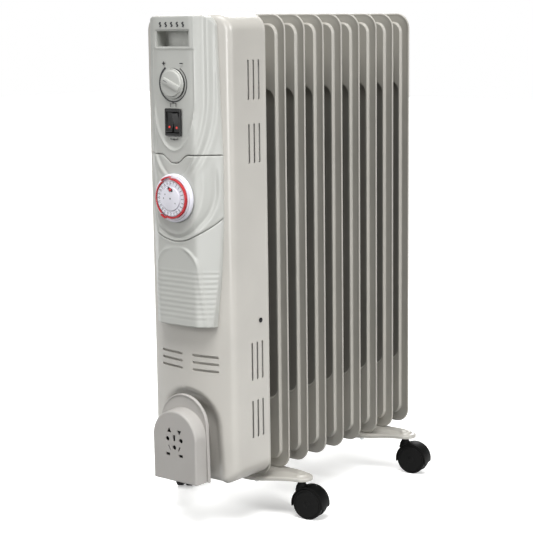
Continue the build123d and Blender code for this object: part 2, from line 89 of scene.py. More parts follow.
def finish(name, color, roughness, spread=0.05, grain=900, bump=0.15, mottle=0.025, metallic=0.0,
           coat=0.0, stretch=(1, 1, 1), specular=0.5, glow=None, pocketShade=None):
    # a painted, moulded or plated surface: mottled colour, uneven gloss and a fine raised grain, with
    # painted shade in the fin pockets when asked
    material = bpy.data.materials.new(name)
    material.use_nodes = True
    tree = material.node_tree
    tree.nodes.clear()
    place = addNode(tree, "ShaderNodeTexCoord")
    turn = addNode(tree, "ShaderNodeMapping", {"Vector": place.outputs["Object"], "Scale": stretch})
    where = turn.outputs["Vector"]
    cloud = addNode(tree, "ShaderNodeTexNoise", {"Vector": where, "Scale": 14.0, "Detail": 4.0})
    speck = addNode(tree, "ShaderNodeTexNoise", {"Vector": where, "Scale": grain * 0.5, "Detail": 2.0})
    pores = addNode(tree, "ShaderNodeTexNoise", {"Vector": where, "Scale": float(grain), "Detail": 3.0})
    base = linear(color)
    low = [c * (1 - mottle * 2) for c in base] + [1]
    high = [min(1, c * (1 + mottle)) for c in base] + [1]
    tint = addNode(tree, "ShaderNodeValToRGB", {"Fac": cloud.outputs["Fac"]})
    tint.color_ramp.elements[0].position = 0.3
    tint.color_ramp.elements[0].color = low
    tint.color_ramp.elements[1].position = 0.7
    tint.color_ramp.elements[1].color = high
    greyed = addNode(tree, "ShaderNodeMapRange", {
        "Value": speck.outputs["Fac"], "To Min": 1 - mottle * 3, "To Max": 1.0})
    dustedAndShaded = multiplied(tree, 0.25, tint.outputs["Color"], greyed.outputs["Result"])
    if pocketShade:  # painted shade: the colour is darker in the pressed pockets, where the neighbouring fins shade them
        depth = addNode(tree, "ShaderNodeAttribute", attribute_name="pocketDistance")
        tone = addNode(tree, "ShaderNodeMapRange", {
            "Value": depth.outputs["Fac"], "From Min": -0.004, "From Max": -0.0005,
            "To Min": pocketShade, "To Max": 1.0}, interpolation_type="SMOOTHSTEP")
        dustedAndShaded = multiplied(tree, 1.0, dustedAndShaded, tone.outputs["Result"])
    gloss = addNode(tree, "ShaderNodeMapRange", {
        "Value": cloud.outputs["Fac"], "From Min": 0.3, "From Max": 0.7, "To Min": roughness - spread,
        "To Max": roughness + spread})
    raised = addNode(tree, "ShaderNodeBump",
                     {"Height": pores.outputs["Fac"], "Strength": bump, "Distance": 0.0003})
    shader = addNode(tree, "ShaderNodeBsdfPrincipled", {
        "Base Color": dustedAndShaded, "Roughness": gloss.outputs["Result"], "Normal": raised.outputs["Normal"],
        "Metallic": metallic, "Coat Weight": coat, "Coat Roughness": 0.25,
        "Specular IOR Level": specular})
    if glow:
        shader.inputs["Emission Color"].default_value = (*linear(color), 1)
        shader.inputs["Emission Strength"].default_value = glow
    addNode(tree, "ShaderNodeOutputMaterial", {"Surface": shader.outputs["BSDF"]})
    return material


# the fin paint carries painted shade in its pressed pockets, darker where the fins shade each other
finEnamel = finish("finEnamel", (178, 175, 167), 0.44, grain=700, bump=0.10, coat=0.1, pocketShade=0.58)
housingEnamel = finish("housingEnamel", (195, 192, 185), 0.38, grain=700, bump=0.10, coat=0.2)
footEnamel = finish("footEnamel", (177, 174, 167), 0.36, grain=700, bump=0.12, coat=0.25)
panelPlastic = finish("panelPlastic", (186, 187, 182), 0.40, grain=2600, bump=0.16, mottle=0.015)
tidyPlastic = finish("tidyPlastic", (171, 168, 164), 0.48, grain=2400, bump=0.2, mottle=0.02)
blackPlasticAndShade = finish("blackPlasticAndShade", (8, 8, 8), 0.45, grain=1900, bump=0.25, mottle=0.05, specular=0.35)
casterBlack = finish("casterBlack", (3, 3, 3), 0.62, grain=1500, bump=0.3, mottle=0.06, specular=0.12)
timerWhite = finish("timerWhite", (236, 235, 244), 0.35, grain=2200, bump=0.08, mottle=0.01)
timerRed = finish("timerRed", (206, 52, 58), 0.4, grain=2200, bump=0.08, mottle=0.03)
lensRed = finish("lensRed", (230, 60, 50), 0.2, grain=2000, bump=0.05, mottle=0.03, glow=0.25)
inkAndShadeBlack = finish("inkAndShadeBlack", (32, 32, 34), 0.6, grain=3000, bump=0.1, mottle=0.04)
inkGrey = finish("inkGrey", (62, 64, 70), 0.6, grain=3000, bump=0.1, mottle=0.04)
zincPlate = finish("zincPlate", (186, 188, 190), 0.32, spread=0.1, grain=500, bump=0.12, metallic=1.0,
                   stretch=(1, 1, 4))
elementSteel = finish("elementSteel", (128, 124, 120), 0.45, spread=0.1, grain=600, bump=0.2,
                      metallic=1.0, stretch=(1, 0.2, 1))
screwSteel = finish("screwSteel", (44, 44, 46), 0.35, spread=0.08, grain=500, bump=0.12, metallic=1.0)
turnedBrass = finish("turnedBrass", (190, 156, 84), 0.3, spread=0.08, grain=800, bump=0.15, metallic=1.0,
                     stretch=(1, 0.2, 1))
print("materials ready")


# ---- mesh helpers

def joined(*parts):  # several lists of points and faces as one
    points, faces = [], []
    for partPoints, partFaces in parts:
        start = len(points)
        points.extend(tuple(p) for p in partPoints)
        faces.extend(tuple(start + i for i in face) for face in partFaces)
    return points, faces


def makePiece(name, shape, material, smooth=35, weld=0.0005):
    points, faces = shape
    mesh = bpy.data.meshes.new(name)
    mesh.from_pydata([tuple(c * mm for c in p) for p in points], [], faces)
    edit = bmesh.new()
    edit.from_mesh(mesh)
    bmesh.ops.remove_doubles(edit, verts=edit.verts, dist=weld * mm * 10)
    bmesh.ops.dissolve_degenerate(edit, edges=edit.edges, dist=1e-8)
    edit.to_mesh(mesh)
    edit.free()
    mesh.materials.append(material)
    shadeMesh(mesh, smooth)
    piece = bpy.data.objects.new(name, mesh)
    bpy.context.scene.collection.objects.link(piece)
    return piece


def shadeMesh(mesh, smooth=35):
    mesh.shade_smooth()
    mesh.set_sharp_from_angle(angle=math.radians(smooth))


def faceOutwards(piece):
    edit = bmesh.new()
    edit.from_mesh(piece.data)
    bmesh.ops.recalc_face_normals(edit, faces=edit.faces)
    edit.to_mesh(piece.data)
    edit.free()


def settle(piece, smooth=35):  # turn the modifiers' result into the piece's own plain mesh
    view = bpy.context.evaluated_depsgraph_get()
    mesh = bpy.data.meshes.new_from_object(piece.evaluated_get(view))
    piece.modifiers.clear()
    piece.data = mesh
    shadeMesh(mesh, smooth)
    return piece


def addWall(piece, thickness):
    wall = piece.modifiers.new("wall", "SOLIDIFY")
    wall.thickness = thickness * mm
    wall.offset = -1
    return piece


def shellPiece(name, parts, material, wall, smooth=38):  # a thin pressed or moulded sheet
    piece = makePiece(name, joined(*parts), material, weld=0.001)
    addWall(piece, wall)
    return settle(piece, smooth)


def cutWith(piece, cutter):
    cut = piece.modifiers.new("cut", "BOOLEAN")
    cut.operation = "DIFFERENCE"
    cut.solver = "EXACT"
    cut.object = cutter
    settle(piece)
    bpy.data.objects.remove(cutter)
    return piece


def place(piece, body, slotName, *nodes):
    piece.data.transform(Matrix.Translation((0, 0, datum * mm)))
    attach(piece, body)
    if nodes:
        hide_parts(*nodes)
    return piece


def smoothStep(value):
    t = np.clip(value, 0, 1)
    return t * t * (3 - 2 * t)


def rollOff(distance, radius):  # how far a rounded edge falls back at a distance from the edge
    inset = np.clip(radius - distance, 0, radius)
    return radius - np.sqrt(radius ** 2 - inset ** 2)


def roundedRing(halfX, halfZ, corner, midX=0.0, midZ=0.0, spacing=None, steps=8):
    points = []
    for k, (signX, signZ) in enumerate(((1, -1), (1, 1), (-1, 1), (-1, -1))):
        for angle in np.linspace(-90 + 90 * k, 90 * k, steps + 1):
            turn = math.radians(angle)
            points.append((midX + signX * (halfX - corner) + corner * math.cos(turn),
                           midZ + signZ * (halfZ - corner) + corner * math.sin(turn)))
    return spread(points, spacing) if spacing else np.array(points)


def spread(points, spacing):  # the same closed ring with its long runs divided
    result = []
    for a, b in zip(points, points[1:] + points[:1]):
        count = max(1, round(math.dist(a, b) / spacing))
        result += [tuple(np.array(a) + (np.array(b) - np.array(a)) * i / count) for i in range(count)]
    return np.array(result)


def circleRing(radius, midX=0.0, midZ=0.0, steps=48):
    turns = [2 * math.pi * i / steps for i in range(steps)]
    return np.array([(midX + radius * math.cos(t), midZ + radius * math.sin(t)) for t in turns])


def archRing(halfFoot, halfTop, foot, shoulder, top, spacing=3.0):
    # straight foot, sloping sides, round top
    rise = top - shoulder
    radius = (halfTop ** 2 + rise ** 2) / (2 * rise)
    sweep = math.asin(min(1, halfTop / radius))
    turns = np.linspace(sweep, -sweep, 33)
    crown = [(radius * math.sin(t), top - radius + radius * math.cos(t)) for t in turns]
    return spread([(-halfFoot, foot), (halfFoot, foot), *crown], spacing)


def insetRing(ring, distance):  # moved inwards along each point's own normal
    ahead = np.roll(ring, -1, axis=0) - ring
    behind = ring - np.roll(ring, 1, axis=0)
    along = ahead / np.linalg.norm(ahead, axis=1)[:, None] + behind / np.linalg.norm(behind,
                                                                                     axis=1)[:, None]
    inward = np.column_stack([-along[:, 1], along[:, 0]])
    return ring + distance * inward / np.linalg.norm(inward, axis=1)[:, None]


def distanceTo(ring, points):  # signed distance from points to a closed ring, negative inside
    best = np.full(len(points), 1e9)
    inside = np.zeros(len(points), bool)
    for start, end in zip(ring, np.roll(ring, -1, axis=0)):
        along = end - start
        offset = points - start
        share = np.clip(offset @ along / max(along @ along, 1e-12), 0, 1)
        best = np.minimum(best, np.linalg.norm(offset - share[:, None] * along, axis=1))
        if start[1] != end[1]:
            crosses = (start[1] > points[:, 1]) != (end[1] > points[:, 1])
            where = start[0] + (points[:, 1] - start[1]) * along[0] / along[1]
            inside ^= crosses & (points[:, 0] < where)
    return np.where(inside, -best, best)


def fillPlan(rings, holes=(), grid=None):
    # triangles over a flat outline, rings[0], with every ring as an edge line and the holes left open
    points, edges = [], []
    for ring in [*rings, *holes]:
        start = len(points)
        points += [tuple(p) for p in ring]
        edges += [(start + i, start + (i + 1) % len(ring)) for i in range(len(ring))]
    if grid:
        low, high = rings[0].min(axis=0), rings[0].max(axis=0)
        columns = np.arange(low[0] + grid[0] / 2, high[0], grid[0])
        rows = np.arange(low[1] + grid[1] / 2, high[1], grid[1])
        filler = np.array([(x, z) for x in columns for z in rows])
        clear = min(grid) * 0.45
        known = np.array(points)
        gaps = np.array([np.min(np.hypot(*(known - p).T)) for p in filler])
        keep = (gaps > clear) & (distanceTo(rings[0], filler) < -clear)
        points += [tuple(p) for p in filler[keep]]
    result = delaunay_2d_cdt([Vector(p) for p in points], edges, [], 0, 1e-6)
    flat = np.array([tuple(p) for p in result[0]])
    faces = np.array([f for f in result[2] if len(f) == 3])
    centres = flat[faces].mean(axis=1)
    keep = distanceTo(rings[0], centres) < 0
    for hole in holes:
        keep &= distanceTo(hole, centres) > 0
    return flat, faces[keep].tolist()


def frontSheet(plan, depth):  # a plan in X and Z, pushed along Y
    flat, faces = plan
    y = depth(flat)
    return np.column_stack([flat[:, 0], y, flat[:, 1]]), faces


def stood(ring, depth):  # a flat ring stood upright, with a depth for each point or one for all
    return [(p[0], y, p[1]) for p, y in zip(ring, np.broadcast_to(depth, len(ring)))]


def upright(x, y, z):  # local X to the right, local Y up and local Z to the front
    return Matrix(((1, 0, 0, x * mm), (0, 0, -1, y * mm), (0, 1, 0, z * mm), (0, 0, 0, 1)))


def strip(first, second):  # a band of quads between two rings of equal length
    count = len(first)
    faces = [(i, (i + 1) % count, count + (i + 1) % count, count + i) for i in range(count)]
    return [*first, *second], faces


def lathe(profile, steps=64):
    # radius and height pairs turned about the local axis, closed where the radius is 0
    points, faces = [], []
    rings = []
    for radius, height in profile:
        if radius < 1e-6:
            rings.append([len(points)] * steps)
            points.append((0, 0, height))
        else:
            rings.append(list(range(len(points), len(points) + steps)))
            points += [(radius * math.cos(2 * math.pi * i / steps),
                        radius * math.sin(2 * math.pi * i / steps), height)
                       for i in range(steps)]
    for lower, upper in zip(rings, rings[1:]):
        for i in range(steps):
            j = (i + 1) % steps
            face = [lower[i], lower[j], upper[j], upper[i]]
            faces.append(tuple(dict.fromkeys(face)))
    return points, [f for f in faces if len(f) > 2]


def rounded(radius, low, high, edge, steps=3):
    # a disc's profile with rounded rims, from its foot to its face
    turns = [math.pi / 2 * i / steps for i in range(steps + 1)]
    foot = [(radius - edge + edge * math.sin(t), low + edge - edge * math.cos(t)) for t in turns]
    face = [(radius - edge + edge * math.cos(t), high - edge + edge * math.sin(t)) for t in turns]
    return [(0, low), *foot, *face, (0, high)]


def facing(shape, x, y, z, turn=0.0):  # local height points to the front, local Y points up
    points, faces = shape
    c, s = math.cos(math.radians(turn)), math.sin(math.radians(turn))
    return [(x + c * p[0] - s * p[1], y - p[2], z + s * p[0] + c * p[1]) for p in points], faces


def moved(shape, matrix):
    points, faces = shape
    return [tuple(matrix @ Vector(p)) for p in points], faces


def barShape(length, width, height, corner=0.5, steps=3):
    # a low block with rounded upright edges and rim
    ring = roundedRing(length / 2, width / 2, corner, steps=steps)
    edge = min(corner, height / 2) * 0.8
    levels = [(0.0, 0.0), (0.0, height - edge), (edge * 0.3, height - edge * 0.3), (edge, height)]
    layers = [[(*p, level) for p in insetRing(ring, inset)] for inset, level in levels]
    parts = [strip(a, b) for a, b in zip(layers, layers[1:])]
    count = len(ring)
    parts.append((layers[-1], [tuple(range(count))]))
    parts.append((layers[0], [tuple(reversed(range(count)))]))
    return joined(*parts)


# ---- geometry nodes

def newTree(name, inputs):  # inputs: name and socket kind
    tree = bpy.data.node_groups.new(name, "GeometryNodeTree")
    tree.interface.new_socket("Geometry", in_out="INPUT", socket_type="NodeSocketGeometry")
    for label, kind in inputs:
        tree.interface.new_socket(label, in_out="INPUT", socket_type="NodeSocket" + kind)
    tree.interface.new_socket("Geometry", in_out="OUTPUT", socket_type="NodeSocketGeometry")
    return tree, addNode(tree, "NodeGroupInput").outputs


def endTree(tree, geometry, material):  # every tree ends with real geometry and its material
    real = addNode(tree, "GeometryNodeRealizeInstances", {"Geometry": geometry})
    painted = addNode(tree, "GeometryNodeSetMaterial",
                      {"Geometry": real.outputs[0], "Material": material})
    addNode(tree, "NodeGroupOutput", {"Geometry": painted.outputs[0]})


def grow(name, tree, values, mesh=None, smooth=35):  # run a tree and keep its result as a plain mesh
    holder = bpy.data.objects.new(name, mesh or bpy.data.meshes.new(name + "Seed"))
    bpy.context.scene.collection.objects.link(holder)
    modifier = holder.modifiers.new("nodes", "NODES")
    modifier.node_group = tree
    for item in tree.interface.items_tree:
        if item.item_type == "SOCKET" and item.in_out == "INPUT" and item.name in values:
            modifier[item.identifier] = values[item.name]
    return settle(holder, smooth)


def mathNode(tree, operation, first, second=0.0):
    node = addNode(tree, "ShaderNodeMath", operation=operation)
    for socket, value in zip(node.inputs, (first, second)):
        if isinstance(value, bpy.types.NodeSocket):
            tree.links.new(value, socket)
        else:
            socket.default_value = value
    return node.outputs[0]


def easeNode(tree, value, start, end):  # 0 before start, 1 after end, smooth between
    node = addNode(tree, "ShaderNodeMapRange", {"Value": value, "From Min": start, "From Max": end},
                   interpolation_type="SMOOTHSTEP")
    return node.outputs["Result"]


def geoNode(tree, kind, values=None, **settings):  # a geometry node's first output
    return addNode(tree, "GeometryNode" + kind, values, **settings).outputs[0]


def vectorNode(tree, **axes):
    return addNode(tree, "ShaderNodeCombineXYZ", axes).outputs[0]


def together(tree, *parts):
    node = addNode(tree, "GeometryNodeJoinGeometry")
    for part in parts:
        tree.links.new(part, node.inputs[0])
    return node.outputs[0]


def ringTree():  # blocks set round a circle, with two runs of them pushed outwards
    tree, given = newTree("ringOfBlocks", [
        ("Count", "Int"), ("Radius", "Float"), ("Radial", "Float"), ("Along", "Float"),
        ("Height", "Float"), ("First Out", "Int"), ("Last Out", "Int"), ("Push", "Float"),
        ("Second First", "Int"), ("Second Last", "Int"), ("Material", "Material")])
    line = geoNode(tree, "MeshLine", {"Count": given["Count"]})
    index = geoNode(tree, "InputIndex")
    angle = mathNode(tree, "MULTIPLY", mathNode(tree, "DIVIDE", index, given["Count"]), 2 * math.pi)
    runs = []
    for first, last in (("First Out", "Last Out"), ("Second First", "Second Last")):
        after = mathNode(tree, "GREATER_THAN", index, given[first])
        runs.append(mathNode(tree, "MULTIPLY", after, mathNode(tree, "LESS_THAN", index, given[last])))
    push = mathNode(tree, "MULTIPLY", mathNode(tree, "ADD", *runs), given["Push"])
    radius = mathNode(tree, "ADD", given["Radius"], push)
    spot = vectorNode(tree, X=mathNode(tree, "MULTIPLY", mathNode(tree, "COSINE", angle), radius),
                      Y=mathNode(tree, "MULTIPLY", mathNode(tree, "SINE", angle), radius))
    points = geoNode(tree, "SetPosition", {"Geometry": line, "Position": spot})
    size = vectorNode(tree, X=given["Radial"], Y=given["Along"], Z=given["Height"])
    block = geoNode(tree, "MeshCube", {"Size": size})
    copies = geoNode(tree, "InstanceOnPoints", {
        "Points": points, "Instance": block, "Rotation": vectorNode(tree, Z=angle)})
    endTree(tree, copies, given["Material"])
    return tree


def slatTree():  # rows of round-ended slots or flat blades
    tree, given = newTree("slatRows", [
        ("Columns", "Int"), ("Column Pitch", "Float"), ("Rows", "Int"), ("Row Pitch", "Float"),
        ("Length", "Float"), ("Width", "Float"), ("Depth", "Float"), ("Rounding", "Float"),
        ("Tilt", "Float"), ("Material", "Material")])
    across = geoNode(tree, "MeshLine", {
        "Count": given["Columns"], "Offset": vectorNode(tree, X=given["Column Pitch"])})
    upwards = geoNode(tree, "MeshLine", {
        "Count": given["Rows"], "Offset": vectorNode(tree, Y=given["Row Pitch"])})
    rows = geoNode(tree, "InstanceOnPoints", {"Points": across, "Instance": upwards})
    spots = geoNode(tree, "RealizeInstances", {"Geometry": rows})
    outline = geoNode(tree, "CurvePrimitiveQuadrilateral",
                      {"Width": given["Length"], "Height": given["Width"]})
    eased = geoNode(tree, "FilletCurve", {"Curve": outline, "Radius": given["Rounding"], "Count": 5},
                    mode="POLY")
    filled = geoNode(tree, "FillCurve", {"Curve": eased}, mode="NGONS")
    raised = geoNode(tree, "ExtrudeMesh", {
        "Mesh": filled, "Offset Scale": given["Depth"], "Individual": False})
    closed = together(tree, raised, geoNode(tree, "FlipFaces", {"Mesh": filled}))
    sealed = geoNode(tree, "MergeByDistance", {"Geometry": closed, "Distance": 1e-6})
    copies = geoNode(tree, "InstanceOnPoints", {
        "Points": spots, "Instance": sealed, "Rotation": vectorNode(tree, X=given["Tilt"])})
    endTree(tree, copies, given["Material"])
    return tree


def finTree():  # presses a flat plan into the two halves of an oil filled fin
    tree, given = newTree("finPress", [
        ("Rim", "Float"), ("Bead", "Float"), ("Flange", "Float"), ("Slope", "Float"),
        ("Chamber", "Float"), ("Pocket Slope", "Float"), ("Web", "Float"), ("Collar Width", "Float"),
        ("Front Reach", "Float"), ("Rear Reach", "Float"), ("Place", "Float"),
        ("Material", "Material")])

    def calc(operation, first, second=0.0):
        return mathNode(tree, operation, first, second)

    edge, chamber, pocket, hub = [
        geoNode(tree, "InputNamedAttribute", {"Name": name + "Distance"}, data_type="FLOAT")
        for name in ("edge", "chamber", "pocket", "hub")]
    swell = easeNode(tree, chamber, 0.0, given["Slope"])
    height = calc("ADD", given["Flange"],
                  calc("MULTIPLY", swell, calc("SUBTRACT", given["Chamber"], given["Flange"])))
    sunk = easeNode(tree, calc("MULTIPLY", pocket, -1.0), 0.0, given["Pocket Slope"])
    height = calc("SUBTRACT", height,
                  calc("MULTIPLY", sunk, calc("SUBTRACT", given["Chamber"], given["Web"])))
    beadShare = calc("SUBTRACT", 1.0,
                     easeNode(tree, edge, given["Rim"], calc("MULTIPLY", given["Rim"], 2.2)))
    height = calc("ADD", height, calc("MULTIPLY", beadShare, given["Bead"]))
    lip = addNode(tree, "ShaderNodeMapRange",
                  {"Value": edge, "From Max": given["Rim"]}).outputs["Result"]
    height = calc("MULTIPLY", height, calc("POWER", lip, 0.5))
    collar = easeNode(tree, calc("MULTIPLY", hub, -1.0), 0.0, given["Collar Width"])
    halves = []
    for side, reach in ((-1.0, given["Front Reach"]), (1.0, given["Rear Reach"])):
        rise = calc("MULTIPLY", collar, calc("SUBTRACT", reach, given["Chamber"]))
        push = calc("MULTIPLY", calc("ADD", height, rise), side)
        shift = vectorNode(tree, Y=calc("ADD", push, given["Place"]))
        half = geoNode(tree, "SetPosition", {"Geometry": given["Geometry"], "Offset": shift})
        halves.append(geoNode(tree, "FlipFaces", {"Mesh": half}) if side > 0 else half)
    welded = geoNode(tree, "MergeByDistance", {"Geometry": together(tree, *halves), "Distance": 1e-6})
    endTree(tree, welded, given["Material"])
    return tree


ringOfBlocks = ringTree()
slatRows = slatTree()
finPress = finTree()
print("node trees ready")


# ---- radiator fins

finSizes = {"corner": 20, "rim": 1.3, "bead": 0.45, "flange": 0.9, "flangeWidth": 11.0, "slope": 2.3,
            "chamber": 4.7, "chamberCorner": 15, "pocketOffset": 29.8, "pocketHalf": 21.7,
            "pocketTall": 200, "pocketCorner": 17, "pocketSlope": 2.6, "web": 1.1, "hubRadius": 24,
            "hubSlope": 1.7}


def finPlan():
    low, high = boxOf("fin_1")
    halfX, halfZ, midZ = high[0], (high[2] - low[2]) / 2, (high[2] + low[2]) / 2
    s = finSizes

    def chamberRing(d, steps=10):
        inset = s["flangeWidth"] + d
        return roundedRing(halfX - inset, halfZ - inset, s["chamberCorner"] - d, 0, midZ, steps=steps)

    rings = [roundedRing(halfX - d, halfZ - d, s["corner"] - d, 0, midZ, steps=10)
             for d in (0, 0.12, 0.4, 0.8, 1.3, 2.0, 2.9, 6)]
    rings += [chamberRing(d) for d in (-0.4, 0, 0.35, 0.7, 1.05, 1.4, 1.75, 2.1, 2.5, 2.9, 3.4, 4.0)]
    for side in (-1, 1):
        for d in (-0.4, 0, 0.35, 0.75, 1.15, 1.6, 2.0, 2.4, 2.9, 3.4, 4.2):
            rings.append(roundedRing(s["pocketHalf"] - d, s["pocketTall"] - d, s["pocketCorner"] - d,
                                     side * s["pocketOffset"], midZ, steps=8))
    hubs = [middleOf("element_fitting")[2], middleOf("filler_plug")[2]]
    for z in hubs:
        for d in (0, 0.35, 0.7, 1.0, 1.35, 1.7, 4):
            rings.append(circleRing(s["hubRadius"] + s["hubSlope"] - d, 0, z, steps=40))
    flat, faces = fillPlan(rings)
    outline = roundedRing(halfX, halfZ, s["corner"], 0, midZ, steps=16)
    pockets = [roundedRing(s["pocketHalf"], s["pocketTall"], s["pocketCorner"], side * s["pocketOffset"],
                           midZ, steps=16)
               for side in (-1, 1)]
    hubGaps = [np.hypot(flat[:, 0], flat[:, 1] - z) for z in hubs]
    distances = {
        "edgeDistance": -distanceTo(outline, flat),
        "chamberDistance": -distanceTo(chamberRing(0, 16), flat),
        "pocketDistance": np.minimum(distanceTo(pockets[0], flat), distanceTo(pockets[1], flat)),
        "hubDistance": np.min(hubGaps, axis=0) - s["hubRadius"] - s["hubSlope"]}
    mesh = bpy.data.meshes.new("finPlan")
    mesh.from_pydata([(x * mm, 0, z * mm) for x, z in flat], [], faces)
    for name, values in distances.items():
        attribute = mesh.attributes.new(name, "FLOAT", "POINT")
        attribute.data.foreach_set("value", (values * mm).astype(np.float32))
    return mesh


def makeFins():
    s = finSizes
    plan = finPlan()
    pitch = boxOf("fin_2")[0][1] - boxOf("fin_1")[0][1]
    count = sum(name.startswith("fin_") for name in frame["nodes"])
    for number in range(1, count + 1):
        low, high = boxOf(f"fin_{number}")
        y = low[1] + pitch / 2
        fin = grow(f"finSkin{number}", finPress, {
            "Rim": s["rim"] * mm, "Bead": s["bead"] * mm, "Flange": s["flange"] * mm,
            "Slope": s["slope"] * mm, "Chamber": s["chamber"] * mm,
            "Pocket Slope": s["pocketSlope"] * mm, "Web": s["web"] * mm,
            "Collar Width": s["hubSlope"] * mm,
            "Front Reach": float(y - low[1]) * mm, "Rear Reach": float(high[1] - y) * mm,
            "Place": float(y) * mm,
            "Material": finEnamel}, mesh=plan, smooth=50)
        place(fin, "heater", "fin_paint", f"fin_{number}")
    print("fins", count)


makeFins()

hubCapSizes = {"dome": 1.2, "rim": 1.0}


def makeHubCaps():
    low, high = boxOf("hub_caps")
    caps = []
    for z, y, radius, facingFront in ((middleOf("element_fitting")[2], high[1], 26, False),
                                      (middleOf("filler_plug")[2], high[1], 26, False),
                                      (middleOf("filler_plug")[2], low[1], 24, True)):
        profile = [(0, 0), (radius, 0), (radius, hubCapSizes["rim"]), (radius - 1.2, 2.0),
                   (radius - 5, 2.0), (radius - 7, 2.0 - hubCapSizes["dome"]),
                   (6, 2.0 - hubCapSizes["dome"] * 0.8), (0, 1.2)]
        shape = lathe(profile, 48)
        if facingFront:
            caps.append(facing(shape, 0, y + 2, z))
        else:
            turned = moved(shape, Matrix.Rotation(math.pi, 4, "X"))
            caps.append(facing(turned, 0, y - 2, z))
    piece = makePiece("hubCovers", joined(*caps), finEnamel)
    place(piece, "heater", "fin_paint", "hub_caps")


makeHubCaps()


# ---- housing

housingSizes = {"corner": 20, "fold": 7, "sheet": 1.0, "bow": 13, "recessDepth": 12.5,
                "recess": (54, 50, 40, 122, 171), "recessSlope": 16,
                "sideRows": (129, 202.5, 471.5, 548), "slotLength": 48, "slotWidth": 3.6,
                "slotPitch": 10, "slotsFromRear": 23, "frontRows": 3, "frontPitch": 9, "frontLow": 194,
                "frontLength": 38, "frontWidth": 3.1, "frontX": 27, "bladeThick": 0.8,
                "frontBlade": 4.6, "frontTilt": 22, "sideBlade": 2.8, "sideLean": 40}
housingLow, housingHigh = boxOf("housing_shell")
recessFloor = housingLow[1] + housingSizes["recessDepth"]


def bowAt(x):  # the plain bowed front, before the recess
    return housingLow[1] + housingSizes["bow"] * (np.abs(x) / housingHigh[0]) ** 2


def housingFront(flat):
    face = bowAt(flat[:, 0])
    inside = -distanceTo(archRing(*housingSizes["recess"]), flat)
    return face + (recessFloor - face) * smoothStep(inside / housingSizes["recessSlope"])


def makeFrontBlades(slots):
    s = housingSizes
    blade = {"Width": s["frontBlade"] * mm, "Depth": s["bladeThick"] * mm, "Rounding": 0.2 * mm,
             "Tilt": math.radians(s["frontTilt"])}
    blades = grow("frontBlades", slatRows, slots | blade)
    blades.data.transform(upright(-s["frontX"], housingLow[1] + 2.6, s["frontLow"] - 1.1))
    for vertex in blades.data.vertices:  # the blades lean back with the bowed front
        vertex.co.y += (bowAt(vertex.co.x / mm) - housingLow[1]) * mm
    place(blades, "heater", "housing_paint")


def makeSideBlades(slots, sideY):
    s = housingSizes
    pitch = s["slotPitch"]
    blade = {"Length": s["sideBlade"] * mm, "Width": (s["slotLength"] - 2) * mm,
             "Depth": s["bladeThick"] * mm, "Rounding": 0.2 * mm}
    for side, hand in ((-1, "Left"), (1, "Right")):
        lean = Matrix.Rotation(side * math.radians(s["sideLean"]), 4, "Z")
        for row, z in enumerate(s["sideRows"]):
            blades = grow(f"sideBlades{hand}{row + 1}", slatRows, slots | blade)
            spot = Matrix.Translation((side * (housingHigh[0] - 2.8) * mm, (sideY - pitch + 1.4) * mm,
                                       z * mm))
            for vertex in blades.data.vertices:  # each blade leans about its own edge
                column = round(vertex.co.x / (pitch * mm))
                local = vertex.co - Vector((column * pitch * mm, 0, 0))
                turned = lean @ Vector((side * local.z, local.x, local.y))
                vertex.co = spot @ (turned + Vector((0, column * pitch * mm, 0)))
            if side < 0:
                blades.data.flip_normals()
            place(blades, "heater", "housing_paint")


